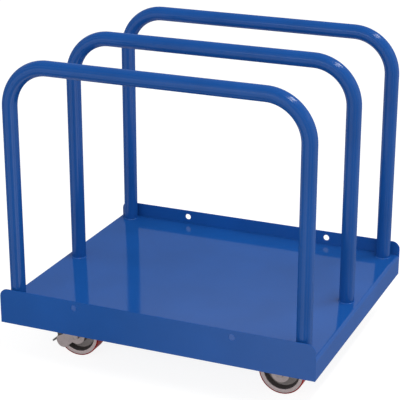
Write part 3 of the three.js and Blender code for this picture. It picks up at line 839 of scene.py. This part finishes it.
# The blue finishes are copies of one paint. blue_paint's lighter blue is painted light, and the darker blue
# of the tubes' and the front plate's copies is painted shade.
FINISHES = {
    "blue_paint": blue_paint("blue_paint", share=1.04, coat=0.06, coat_roughness=0.12),
    "deck_paint": blue_paint("deck_paint", share=1.0, coat=0.11, coat_roughness=0.09),
    "tube_paint_shaded": blue_paint("tube_paint_shaded", share=0.9, coat=tube_coat, coat_roughness=0.17, coat_ior=2.0),
    "plate_paint_shaded": blue_paint("plate_paint_shaded", share=0.985, coat=plate_coat, coat_roughness=0.1),
    "zinc_steel": zinc_steel(),
    "dark_steel": dark_steel(),
    "wheel_core": wheel_core(),
    "tread": red_tread(),
    "bush": bronze_bush(),
    "shoe": black_shoe(),
}


# Pieces


def add(name, shape, slot, body, origin=(0, 0, 0), finish=None, bevel=0.0, angle=FLAT_ANGLE):
    obj = bpy.data.objects.new(name, mesh_of(shape, MM))
    bpy.context.scene.collection.objects.link(obj)
    obj.location = Vector(origin) * MM
    obj.data.materials.append(FINISHES[finish or slot])
    obj.data.polygons.foreach_set("use_smooth", [True] * len(obj.data.polygons))
    limit = math.radians(angle)
    obj.data.set_sharp_from_angle(angle=limit)
    if bevel:
        edge = obj.modifiers.new("edges", "BEVEL")
        edge.width = bevel * MM
        edge.segments = EDGE_STEPS
        edge.limit_method = "ANGLE"
        edge.angle_limit = limit
        edge.harden_normals = True
        edge.use_clamp_overlap = True
        edge.loop_slide = False
    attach(obj, body)
    return obj


def refine(node, shape, origin=(0, 0, 0), **edges):
    obj = add(f"{node}.fine", shape, SLOT_OF[node], BODY_OF[node], origin, **edges)
    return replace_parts(obj, node)


# The section of a sheet folded down along two sides


def channel_outline(half, top, bottom, sheet, fold, steps):
    inner = fold - sheet
    outer_arcs = arc(half - fold, top - fold, fold, 0, QUARTER_TURN, steps)
    outer_arcs += arc(fold - half, top - fold, fold, QUARTER_TURN, math.pi, steps)
    low_half = half - sheet
    low_top = top - sheet
    inner_arcs = arc(inner - low_half, low_top - inner, inner, math.pi, QUARTER_TURN, steps)
    inner_arcs += arc(low_half - inner, low_top - inner, inner, QUARTER_TURN, 0, steps)
    outer = [(half, bottom), *outer_arcs, (-half, bottom)]
    return [*outer, (-low_half, bottom), *inner_arcs, (low_half, bottom)]


# Deck and end plates

deck_outline = channel_outline(
    DECK_LENGTH / 2, DECK_TOP, DECK_BOTTOM_EDGE, DECK_SHEET, DECK_FOLD_RADIUS, DECK_FOLD_STEPS)
deck = prism_across(deck_outline, DECK_WIDTH - 2 * SEAT_GAP)
refine("deck_plate", deck, finish="deck_paint", bevel=DECK_EDGE)


def end_plate_outline():
    half = DECK_LENGTH / 2
    corner = END_PLATE_CORNER
    top_right = arc(half - corner, LIP_TOP - corner, corner, 0, QUARTER_TURN, END_CORNER_STEPS)
    top_left = arc(corner - half, LIP_TOP - corner, corner, QUARTER_TURN, math.pi, END_CORNER_STEPS)
    return [(-half, DECK_BOTTOM_EDGE), (half, DECK_BOTTOM_EDGE), *top_right, *top_left]


tie_holes = [circle(side * TIE_HOLE_SPACING / 2, LIP_TOP - TIE_HOLE_DROP, TIE_HOLE_RADIUS, TIE_HOLE_STEPS)
             for side in (-1, 1)]
# The front plate's copy of the paint is darker, as painted shade, and the rear plate's copy is lighter, as
# painted light
for node, side, finish in (("front_end_plate", -1, "plate_paint_shaded"), ("rear_end_plate", 1, "blue_paint")):
    middle = side * (DECK_WIDTH + END_PLATE_SHEET) / 2
    plate = prism_across(end_plate_outline(), END_PLATE_SHEET, middle, tie_holes)
    refine(node, plate, finish=finish, bevel=SHEET_EDGE)


# Dividers: one tube through two bends, and a weld bead round each foot. Each point of the tube's line
# comes with the angle that the tube has turned through.


def divider_line():
    foot = DECK_TOP + SEAT_GAP
    bend = DIVIDER_BEND_RADIUS
    corner_x = DIVIDER_HALF_SPAN - bend
    corner_z = DIVIDER_BAR - bend
    left = [(-corner_x - bend * math.cos(a), corner_z + bend * math.sin(a), a)
            for a in (QUARTER_TURN * i / BEND_STEPS for i in range(BEND_STEPS + 1))]
    right = [(-x, z, math.pi - a) for x, z, a in reversed(left)]
    return [(-DIVIDER_HALF_SPAN, foot, 0), *left, *right, (DIVIDER_HALF_SPAN, foot, math.pi)]


def tube():
    points = []
    faces = []
    line = divider_line()
    radii = (TUBE_RADIUS, TUBE_RADIUS - TUBE_WALL)
    aside = Vector((0, 1, 0))
    for x, z, turn in line:
        middle = Vector((x, 0, z))
        out = Vector((-math.cos(turn), 0, math.sin(turn)))
        for radius in radii:
            for i in range(TUBE_STEPS):
                a = FULL_TURN * i / TUBE_STEPS
                points.append(middle + (out * math.cos(a) + aside * math.sin(a)) * radius)
    ring = 2 * TUBE_STEPS
    for s in range(len(line) - 1):
        for wall in (0, TUBE_STEPS):
            for i in range(TUBE_STEPS):
                k = (i + 1) % TUBE_STEPS
                a = s * ring + wall
                faces.append((a + i, a + k, a + ring + k, a + ring + i))
    for a in (0, (len(line) - 1) * ring):
        for i in range(TUBE_STEPS):
            k = (i + 1) % TUBE_STEPS
            faces.append((a + i, a + k, a + TUBE_STEPS + k, a + TUBE_STEPS + i))
    return points, faces


def weld_ring():
    points = []
    faces = []
    steps = WELD_RIPPLES * WELD_RIPPLE_STEPS
    count = len(WELD_CURVE) + 2
    for i in range(steps):
        a = FULL_TURN * i / steps
        leg = WELD_LEG - WELD_RIPPLE_DEPTH * math.sin(a * WELD_RIPPLES / 2) ** 2
        curve = [(leg * r, leg * z) for r, z in WELD_CURVE]
        for r, z in [(-WELD_ROOT, leg), *curve, (-WELD_ROOT, 0)]:
            reach = TUBE_RADIUS + r
            points.append(Vector((reach * math.cos(a), reach * math.sin(a), z)))
    for i in range(steps):
        k = (i + 1) % steps
        for j in range(count):
            m = (j + 1) % count
            faces.append((i * count + j, k * count + j, k * count + m, i * count + m))
    return points, faces


# The tubes' copy of the paint is darker, as painted shade
for name, y in (("front", -DIVIDER_Y), ("middle", 0.0), ("rear", DIVIDER_Y)):
    refine(f"{name}_divider", tube(), (0, y, 0), finish="tube_paint_shaded", angle=TUBE_ANGLE)
    for end, x in (("left", -DIVIDER_HALF_SPAN), ("right", DIVIDER_HALF_SPAN)):
        bead = shifted(weld_ring(), x, y, DECK_TOP)
        add(f"{name}_divider_{end}_weld", bead, "blue_paint", "frame", angle=WELD_ANGLE)


# Caster channels, drilled for their casters' screws


def screw_places():
    return [(sx * SCREW_SPACING_X / 2, sy * SCREW_SPACING_Y / 2) for sx in (-1, 1) for sy in (-1, 1)]


def channel_shape(caster_y):
    bottom = CHANNEL_TOP - CHANNEL_DEPTH
    profile = channel_outline(
        CHANNEL_HALF, CHANNEL_TOP, bottom, CHANNEL_SHEET, CHANNEL_FOLD_RADIUS, SHEET_FOLD_STEPS)
    drill = rod(SCREW_RADIUS + BORE_CLEARANCE, PLATE_TOP - OVERCUT, CHANNEL_TOP + OVERCUT, SCREW_STEPS)
    holes = [shifted(drill, x, y + side * caster_y) for side in (-1, 1) for x, y in screw_places()]
    return combined(prism_across(profile, DECK_WIDTH - 2 * SEAT_GAP), "DIFFERENCE", *holes)


refine("left_caster_channel", shifted(channel_shape(SWIVEL_Y), x=-CASTER_X), bevel=SHEET_EDGE)
refine("right_caster_channel", shifted(channel_shape(RIGID_Y), x=CASTER_X), bevel=SHEET_EDGE)


# Wheels, turned round the axle


def wheel_core_shape():
    rim = WHEEL_RADIUS - TREAD_THICKNESS - SEAT_GAP
    dish = rim - RIM_THICKNESS
    bore = AXLE_RADIUS + 2 * BORE_CLEARANCE + AXLE_BUSH_WALL
    hub = FORK_INNER_HALF - HUB_END_GAP
    face = WHEEL_WIDTH / 2 - RIM_INSET
    web = WEB_THICKNESS / 2
    half = [(bore, hub), (HUB_RADIUS, hub), (HUB_RADIUS + DISH_FLARE, web), (dish - DISH_FLARE, web),
            (dish, face), (rim, face)]
    soft = softened(half, CORE_ROUNDING, CORE_ROUNDING_STEPS)
    below = [(r, -z) for r, z in soft]
    return turned_across([*below, *reversed(soft)], CORE_STEPS, closed=True)


def tread_shape():
    inner = WHEEL_RADIUS - TREAD_THICKNESS
    face = WHEEL_WIDTH / 2
    shoulder = TREAD_SHOULDER
    half = [(inner, face)]
    half += arc(WHEEL_RADIUS - shoulder, face - shoulder, shoulder, QUARTER_TURN, 0, TREAD_SHOULDER_STEPS)
    below = [(r, -z) for r, z in half]
    return turned_across([*below, *reversed(half)], TREAD_STEPS, closed=True)


def bush_shape():
    inner = AXLE_RADIUS + BORE_CLEARANCE
    outer = inner + AXLE_BUSH_WALL
    end = FORK_INNER_HALF - SEAT_GAP
    corners = [(inner, -end), (outer, -end), (outer, end), (inner, end)]
    ring = softened(corners, AXLE_BUSH_ROUNDING, EDGE_STEPS, closed=True)
    return turned_across(ring, AXLE_STEPS, closed=True)


# Axle bolt: its head at the front of the wheel, its thread out through the nut behind


def axle_bolt_shape():
    seat = BOSS_FACE + SEAT_GAP
    nut_top = seat + AXLE_NUT_HEIGHT
    end = nut_top + AXLE_THREAD_END
    pitch = AXLE_THREAD_PITCH
    head = hexagon(AXLE_HEX, seat, seat + AXLE_HEAD_HEIGHT)
    crest = pitch - end
    shank = [(0, -end), (AXLE_RADIUS - pitch, -end), (AXLE_RADIUS, crest)]
    while crest + pitch < AXLE_THREAD_RUNOUT - nut_top:
        shank += [(AXLE_RADIUS - AXLE_THREAD_DEPTH, crest + pitch / 2), (AXLE_RADIUS, crest + pitch)]
        crest += pitch
    shank += [(AXLE_RADIUS, seat), (0, seat)]
    return moved(joined(head, turned(shank, AXLE_STEPS)), UP_TO_ACROSS)


def axle_nut_shape():
    seat = BOSS_FACE + SEAT_GAP
    bore = AXLE_RADIUS + BORE_CLEARANCE
    top = seat + AXLE_NUT_HEIGHT
    hexed = hexagon(AXLE_HEX, seat, top - AXLE_NUT_COLLAR, bore)
    collar = AXLE_HEX / 2 * COLLAR_SHARE
    low = top - AXLE_NUT_COLLAR - COLLAR_SINK
    chamfer = COLLAR_CHAMFER
    ring = [(bore, low), (collar, low), (collar, top - chamfer), (collar - chamfer, top), (bore, top)]
    nut = joined(hexed, turned(ring, AXLE_NUT_STEPS, closed=True))
    return moved(nut, Matrix.Rotation(-QUARTER_TURN, 4, "X"))


# Forks: a bent yoke of sheet trimmed to a side outline, with a raised boss round each axle hole


def bar_across(radius, low, high, segments, x, z):
    return shifted(moved(rod(radius, low, high, segments), UP_TO_ACROSS), x=x, z=z)


def yoke(outline, crown_top, axle_x):
    profile = channel_outline(FORK_OUTER_HALF, crown_top, 0, FORK_SHEET, FORK_FOLD_RADIUS, SHEET_FOLD_STEPS)
    blank = prism_lengthways(profile, FORK_BLANK)
    body = combined(blank, "INTERSECT", prism_across(outline, 4 * FORK_OUTER_HALF))
    root = FORK_OUTER_HALF - FORK_SHEET / 2
    for low, high in ((-BOSS_FACE, -root), (root, BOSS_FACE)):
        boss = bar_across(FORK_BOSS_RADIUS, low, high, FORK_BOSS_STEPS, axle_x, WHEEL_RADIUS)
        body = combined(body, "UNION", boss)
    reach = 2 * BOSS_FACE
    bore = bar_across(AXLE_RADIUS + BORE_CLEARANCE, -reach, reach, AXLE_STEPS, axle_x, WHEEL_RADIUS)
    return combined(body, "DIFFERENCE", bore)


def pedal_pin_place():
    reach = WHEEL_RADIUS + PEDAL_PIN_OFFSET
    return SWIVEL_OFFSET + reach * math.cos(PEDAL_PIN_ANGLE), WHEEL_RADIUS + reach * math.sin(PEDAL_PIN_ANGLE)


# The angle on a circle where a line from a point, given from the circle's centre, touches it


def touch_angle(along_x, along_z, radius, side):
    return math.atan2(along_z, along_x) + side * math.acos(radius / math.hypot(along_x, along_z))


def swivel_fork_shape():
    top = CROWN_TOP + OVERCUT
    rear = touch_angle(CROWN_REAR - SWIVEL_OFFSET, top - WHEEL_RADIUS, FORK_END_RADIUS, -1)
    nose = (SWIVEL_OFFSET - NOSE_LEAD, WHEEL_RADIUS - NOSE_DROP)
    outline = [(CROWN_REAR, top), (-CROWN_FRONT, top)]
    outline += [(SWIVEL_OFFSET - THROAT_LEAD, WHEEL_RADIUS - THROAT_DROP)]
    outline += arc(*nose, NOSE_RADIUS, NOSE_TOP_ANGLE, NOSE_HEEL_ANGLE, NOSE_STEPS)
    foot = (SWIVEL_OFFSET, WHEEL_RADIUS)
    outline += arc(*foot, FORK_END_RADIUS, FORK_HEEL_ANGLE, FULL_TURN + rear, SWIVEL_END_STEPS)
    body = yoke(outline, CROWN_TOP, SWIVEL_OFFSET)
    kingpin_bore = rod(KINGPIN_RADIUS + BORE_CLEARANCE, CROWN_UNDERSIDE - OVERCUT, top, KINGPIN_BORE_STEPS)
    reach = 2 * BOSS_FACE
    pin_radius = BRAKE_PIN_RADIUS + BORE_CLEARANCE
    pin_bore = bar_across(pin_radius, -reach, reach, BRAKE_PIN_BORE_STEPS, *pedal_pin_place())
    return combined(body, "DIFFERENCE", kingpin_bore, pin_bore)


def mounting_plate():
    x = PLATE_LENGTH / 2 - PLATE_CORNER
    y = PLATE_WIDTH / 2 - PLATE_CORNER
    quarter = QUARTER_TURN
    corners = ((x, y), (-x, y), (-x, -y), (x, -y))
    outline = []
    for i, corner in enumerate(corners):
        outline += arc(*corner, PLATE_CORNER, i * quarter, (i + 1) * quarter, PLATE_CORNER_STEPS)
    half = SCREW_RADIUS + SLOT_CLEARANCE
    slots = []
    for sx, sy in screw_places():
        slot = arc(sx + SLOT_TRAVEL / 2, sy, half, -quarter, quarter, SLOT_STEPS)
        slots.append(slot + arc(sx - SLOT_TRAVEL / 2, sy, half, quarter, 3 * quarter, SLOT_STEPS))
    return shifted(prism(outline, PLATE_THICKNESS, slots), z=PLATE_UNDERSIDE)


def rigid_fork_shape():
    crown = PLATE_UNDERSIDE + RIGID_WELD_SINK
    top = crown + OVERCUT
    right = touch_angle(RIGID_TOP_HALF, top - WHEEL_RADIUS, FORK_END_RADIUS, -1)
    outline = [(RIGID_TOP_HALF, top), (-RIGID_TOP_HALF, top)]
    outline += arc(0, WHEEL_RADIUS, FORK_END_RADIUS, math.pi - right, FULL_TURN + right, RIGID_END_STEPS)
    return combined(yoke(outline, crown, 0), "UNION", mounting_plate())


# Swivel head


def top_plate_shape():
    root = PLATE_UNDERSIDE + PLATE_THICKNESS / 4
    low = RACE_UNDERSIDE
    rounded = arc(RACE_RADIUS - RACE_ROUND, low + RACE_ROUND, RACE_ROUND, -QUARTER_TURN, 0, RACE_ROUND_STEPS)
    ring = [(RACE_BORE_RADIUS, low), *rounded, (RACE_RADIUS, root), (RACE_BORE_RADIUS, root)]
    head_seat = PLATE_TOP - KINGPIN_HEAD_HEIGHT - SEAT_GAP
    top = PLATE_TOP + OVERCUT
    sink = rod(KINGPIN_HEAD_RADIUS + BORE_CLEARANCE, head_seat, top, KINGPIN_STEPS)
    bore = rod(KINGPIN_RADIUS + BORE_CLEARANCE, PLATE_UNDERSIDE - OVERCUT, top, KINGPIN_BORE_STEPS)
    body = combined(mounting_plate(), "UNION", turned(ring, RACE_STEPS, closed=True))
    return combined(body, "DIFFERENCE", sink, bore)


def bearing_shape():
    bottom = CROWN_TOP + SEAT_GAP
    top = bottom + BEARING_HEIGHT
    rim = BEARING_RADIUS - BEARING_BULGE
    bulge = [(rim, bottom), (BEARING_RADIUS, (bottom + top) / 2), (rim, top)]
    outer = softened(bulge, BEARING_ROUNDING, BEARING_ROUNDING_STEPS)
    return turned([(RACE_BORE_RADIUS, bottom), *outer, (RACE_BORE_RADIUS, top)], RACE_STEPS, closed=True)


def kingpin_shape():
    head_bottom = PLATE_TOP - KINGPIN_HEAD_HEIGHT
    hex_top = CROWN_UNDERSIDE - SEAT_GAP
    hex_low = hex_top - KINGPIN_HEX_HEIGHT
    shank_low = hex_low + OVERCUT
    chamfer = KINGPIN_CHAMFER
    shank = [(0, shank_low), (KINGPIN_RADIUS, shank_low), (KINGPIN_RADIUS, head_bottom),
             (KINGPIN_HEAD_RADIUS, head_bottom), (KINGPIN_HEAD_RADIUS, PLATE_TOP - chamfer),
             (KINGPIN_HEAD_RADIUS - chamfer, PLATE_TOP), (0, PLATE_TOP)]
    return joined(turned(shank, KINGPIN_STEPS), hexagon(KINGPIN_HEX, hex_low, hex_top, cone_low=True))


def screw_shape():
    under_head = PLATE_UNDERSIDE - SEAT_GAP
    head = hexagon(SCREW_HEX, under_head - SCREW_HEAD_HEIGHT, under_head, cone_low=True, cone_high=False)
    return joined(head, rod(SCREW_RADIUS, under_head - OVERCUT, CHANNEL_TOP, SCREW_STEPS))


# Brakes, drawn round the axle in the plane of the wheel


def polar(distance, angle):
    return Vector((math.cos(angle), math.sin(angle))) * distance


# A neck that curves round in front of the tread from an eye round the pin


def pedal_neck():
    inner = WHEEL_RADIUS + PEDAL_TREAD_GAP
    outer = inner + PEDAL_SHEET
    heel = PEDAL_SHEET / inner
    reach = WHEEL_RADIUS + PEDAL_PIN_OFFSET
    eye = polar(reach, PEDAL_PIN_ANGLE)
    meet = math.acos((reach ** 2 + outer ** 2 - PEDAL_EYE_RADIUS ** 2) / (2 * reach * outer))
    root = polar(outer, PEDAL_PIN_ANGLE + meet) - eye
    end = math.atan2(root.y, root.x) % FULL_TURN
    outline = arc(0, 0, outer, PEDAL_PIN_ANGLE + meet, PEDAL_END_ANGLE, PEDAL_STEPS)
    outline += arc(0, 0, inner, PEDAL_END_ANGLE + heel, PEDAL_PIN_ANGLE, PEDAL_STEPS)
    outline += arc(*eye, PEDAL_EYE_RADIUS, PEDAL_PIN_ANGLE - math.pi, end, PEDAL_EYE_STEPS)[:-1]
    bore = circle(*eye, BRAKE_PIN_RADIUS + BORE_CLEARANCE, BRAKE_PIN_BORE_STEPS)
    return prism_across(outline, PEDAL_NECK_WIDTH, holes=[bore])


# A foot that turns out from the neck's end


def pedal_foot():
    inner = WHEEL_RADIUS + PEDAL_TREAD_GAP
    outer = inner + PEDAL_SHEET
    heel = PEDAL_SHEET / inner
    knee = polar(outer, PEDAL_END_ANGLE)
    tip = knee + polar(PEDAL_FOOT_LENGTH, PEDAL_FOOT_ANGLE)
    under = tip + polar(PEDAL_SHEET, PEDAL_FOOT_ANGLE + QUARTER_TURN)
    root = polar((inner + outer) / 2, PEDAL_END_ANGLE - heel)
    outline = [tuple(point) for point in (knee, tip, under, polar(inner, PEDAL_END_ANGLE + heel), root)]
    return prism_across(outline, PEDAL_FOOT_WIDTH)


# One face of a sheet that lies across Y, and one that follows a line between two places along Y


def flat_piece(outline, y):
    return [Vector((x, y, z)) for x, z in outline], [tuple(range(len(outline)))]


def sheet_strip(line, low, high):
    count = len(line)
    points = [Vector((x, y, z)) for y in (low, high) for x, z in line]
    return points, [(i, i + 1, count + i + 1, count + i) for i in range(count - 1)]


# A bent sheet in the neck: its web, and a cheek that hangs on each side of the tread


def pedal_cheeks():
    middle = WHEEL_RADIUS + PEDAL_TREAD_GAP + PEDAL_SHEET / 2
    inner = middle - CHEEK_SHEET / 2
    outer = middle + CHEEK_SHEET / 2
    rim = WHEEL_RADIUS - CHEEK_INSET
    near = WHEEL_WIDTH / 2 + CHEEK_SIDE_GAP
    far = near + CHEEK_SHEET
    edge = arc(0, 0, rim, CHEEK_WEB_ANGLE, CHEEK_END_ANGLE, CHEEK_STEPS)
    edge += arc(0, 0, rim - CHEEK_DEPTH, CHEEK_END_ANGLE, CHEEK_TOP_ANGLE, CHEEK_INNER_STEPS)
    back = arc(0, 0, outer, CHEEK_TOP_ANGLE, CHEEK_WEB_ANGLE, CHEEK_STEPS)
    under = arc(0, 0, inner, CHEEK_TOP_ANGLE, CHEEK_WEB_ANGLE, CHEEK_STEPS)
    pieces = [sheet_strip(back, -far, far), sheet_strip(under, -near, near)]
    for side in (-1, 1):
        pieces.append(flat_piece([*back, *edge], side * far))
        pieces.append(flat_piece([*under, *edge], side * near))
        pieces.append(sheet_strip(edge, side * near, side * far))
    for i, tip in ((0, edge[-1]), (-1, edge[0])):
        ring = [(back[i], far), (tip, far), (tip, near), (under[i], near)]
        ring += [(place, -y) for place, y in reversed(ring)]
        pieces.append(([Vector((x, y, z)) for (x, z), y in ring], [tuple(range(len(ring)))]))
    return joined(*pieces)


def pedal_shape():
    return joined(combined(pedal_neck(), "UNION", pedal_cheeks()), pedal_foot())


def shoe_shape():
    face = WHEEL_RADIUS + SHOE_TREAD_GAP
    back = WHEEL_RADIUS + PEDAL_TREAD_GAP - SEAT_GAP
    half = SHOE_LENGTH / 2
    face_half = half * SHOE_FACE_SHARE
    outline = [(face, -face_half), *arc(0, 0, back, -half / back, half / back, SHOE_STEPS), (face, face_half)]
    return moved(prism_across(outline, SHOE_WIDTH), Matrix.Rotation(-SHOE_ANGLE, 4, "Y"))


def brake_pin_shape():
    shoulder = PEDAL_NECK_WIDTH / 2 + SEAT_GAP
    leg = FORK_INNER_HALF - SEAT_GAP
    head = FORK_OUTER_HALF + SEAT_GAP
    wide = BRAKE_PIN_RADIUS + BRAKE_PIN_SHOULDER
    edge = head + BRAKE_PIN_HEAD_EDGE
    rise = BRAKE_PIN_HEAD_HEIGHT - BRAKE_PIN_HEAD_EDGE
    turns = [QUARTER_TURN * i / BRAKE_PIN_DOME_STEPS for i in range(BRAKE_PIN_DOME_STEPS + 1)]
    dome = [(BRAKE_PIN_HEAD_RADIUS * math.cos(a), edge + rise * math.sin(a)) for a in turns]
    half = [(BRAKE_PIN_RADIUS, shoulder), (wide, shoulder), (wide, leg), (BRAKE_PIN_RADIUS, leg),
            (BRAKE_PIN_RADIUS, head), (BRAKE_PIN_HEAD_RADIUS, head), *dome]
    below = [(r, -z) for r, z in reversed(half)]
    return turned_across([*below, *half], BRAKE_PIN_STEPS)


# The casters, piece by piece

swivel_fork = swivel_fork_shape()
rigid_fork = rigid_fork_shape()
top_plate = top_plate_shape()
pedal = pedal_shape()
pin_x, pin_z = pedal_pin_place()

CASTERS = (
    ("front_left", -CASTER_X, -SWIVEL_Y, True),
    ("rear_left", -CASTER_X, SWIVEL_Y, True),
    ("front_right", CASTER_X, -RIGID_Y, False),
    ("rear_right", CASTER_X, RIGID_Y, False),
)
for name, x, y, swivels in CASTERS:
    stand = (x, y, 0)
    hub = (x + (SWIVEL_OFFSET if swivels else 0), y, WHEEL_RADIUS)
    refine(f"{name}_wheel_core", wheel_core_shape(), hub, angle=ROUND_ANGLE)
    refine(f"{name}_tread", tread_shape(), hub, angle=ROUND_ANGLE)
    refine(f"{name}_axle_bush", bush_shape(), hub, angle=ROUND_ANGLE)
    refine(f"{name}_axle_bolt", axle_bolt_shape(), hub)
    refine(f"{name}_axle_nut", axle_nut_shape(), hub)
    refine(f"{name}_fork", swivel_fork if swivels else rigid_fork, stand, bevel=FORK_EDGE)
    for i, (sx, sy) in enumerate(screw_places()):
        refine(f"{name}_screw_{i + 1}", screw_shape(), (x + sx, y + sy, 0))
    if swivels:
        refine(f"{name}_top_plate", top_plate, stand, bevel=SHEET_EDGE)
        refine(f"{name}_swivel_bearing", bearing_shape(), stand, angle=ROUND_ANGLE)
        refine(f"{name}_kingpin", kingpin_shape(), stand)
        refine(f"{name}_brake_pedal", pedal, hub, bevel=SHEET_EDGE)
        refine(f"{name}_brake_shoe", shoe_shape(), hub, bevel=SHOE_EDGE)
        refine(f"{name}_brake_pin", brake_pin_shape(), (x + pin_x, y, pin_z))


# Floor. What sees it straight or in a mirror sees it glow, under a darker tone that keeps the shadow.

FLOOR_HALF = 40.0
FLOOR_COLOR = (0.62, 0.62, 0.62)
FLOOR_ROUGHNESS = 0.9
FLOOR_SHADE = 0.41
FLOOR_GLOW = 0.88
WHITE = (1, 1, 1, 1)


def floor_material():
    material, tree, shader = started("floor")
    path = tree.nodes.new("ShaderNodeLightPath")
    seen = calculated(tree, "MAXIMUM", path.outputs["Is Camera Ray"], path.outputs["Is Glossy Ray"])
    shown = calculated(tree, "MAXIMUM", seen, path.outputs["Is Transmission Ray"])
    tone = tree.nodes.new("ShaderNodeVectorMath")
    tone.operation = "SCALE"
    feed(tree, tone, 0, FLOOR_COLOR)
    feed(tree, tone, "Scale", calculated(tree, "MULTIPLY_ADD", shown, FLOOR_SHADE - 1, 1.0))
    feed(tree, shader, "Base Color", tone.outputs["Vector"])
    feed(tree, shader, "Roughness", FLOOR_ROUGHNESS)
    feed(tree, shader, "Specular IOR Level", 0.0)
    feed(tree, shader, "Emission Color", WHITE)
    feed(tree, shader, "Emission Strength", calculated(tree, "MULTIPLY", shown, FLOOR_GLOW))
    return material


def add_floor():
    mesh = bpy.data.meshes.new("floor")
    corners = [(sx * FLOOR_HALF, sy * FLOOR_HALF, 0) for sx, sy in ((-1, -1), (1, -1), (1, 1), (-1, 1))]
    mesh.from_pydata(corners, [], [(0, 1, 2, 3)])
    mesh.materials.append(floor_material())
    floor = bpy.data.objects.new("floor", mesh)
    bpy.context.scene.collection.objects.link(floor)


add_floor()

# Studio: white near the floor, brightest some way up, and dimmer overhead. Each stop is a height and a level.

SKY_STOPS = ((0.14, 1.0), (0.3, 0.82), (0.38, 0.9), (0.43, 1.4), (0.48, 1.15), (0.56, 0.55), (0.8, 0.35))


def add_world():
    world = bpy.data.worlds.new("studio")
    bpy.context.scene.world = world
    world.use_nodes = True
    tree = world.node_tree
    _, _, height = apart(tree, tree.nodes.new("ShaderNodeTexCoord").outputs["Generated"])
    sky = ramp(tree, height, [(place, (level,) * 3) for place, level in SKY_STOPS])
    feed(tree, tree.nodes["Background"], "Color", sky)


add_world()


# Lamps: a long one overhead and a soft one in front


def add_lamp(name, place, target, size, power):
    lamp = bpy.data.lights.new(name, "AREA")
    lamp.shape = "RECTANGLE"
    lamp.size, lamp.size_y = size
    lamp.energy = power
    obj = bpy.data.objects.new(name, lamp)
    bpy.context.scene.collection.objects.link(obj)
    obj.location = place
    obj.rotation_mode = "QUATERNION"
    obj.rotation_quaternion = (Vector(target) - Vector(place)).to_track_quat("-Z", "Y")


add_lamp("key_lamp", place=(2.0, -0.15, 4.3), target=(0.1, 0.0, 0.4), size=(5.0, 0.6), power=130)
add_lamp("front_lamp", place=(-0.6, -4.5, 2.2), target=(0.0, 0.0, 0.4), size=(2.4, 1.6), power=28)

# Camera, standing at the front right and above

CAMERA_PLACE = (1.44970, -3.43438, 1.75806)
CAMERA_AZIMUTH = math.radians(23.535)
CAMERA_ELEVATION = math.radians(20.525)
CAMERA_ROLL = math.radians(-0.079)
CAMERA_SENSOR = 36.0
CAMERA_LENS = 127.08
CAMERA_SHIFT_X = 0.01776
CAMERA_SHIFT_Y = 0.0404
CAMERA_NEAR = 0.05
CAMERA_FAR = 200


def add_camera():
    data = bpy.data.cameras.new("camera")
    data.sensor_width = CAMERA_SENSOR
    data.lens = CAMERA_LENS
    data.shift_x = CAMERA_SHIFT_X
    data.shift_y = CAMERA_SHIFT_Y
    data.clip_start = CAMERA_NEAR
    data.clip_end = CAMERA_FAR
    camera = bpy.data.objects.new("camera", data)
    bpy.context.scene.collection.objects.link(camera)
    level = math.cos(CAMERA_ELEVATION)
    along_x = -math.sin(CAMERA_AZIMUTH) * level
    along_y = math.cos(CAMERA_AZIMUTH) * level
    ahead = Vector((along_x, along_y, -math.sin(CAMERA_ELEVATION)))
    camera.location = CAMERA_PLACE
    camera.rotation_mode = "QUATERNION"
    turn = ahead.to_track_quat("-Z", "Y")
    camera.rotation_quaternion = turn @ Matrix.Rotation(CAMERA_ROLL, 3, "Z").to_quaternion()
    bpy.context.scene.camera = camera


add_camera()
bpy.context.scene.view_settings.view_transform = "Standard"
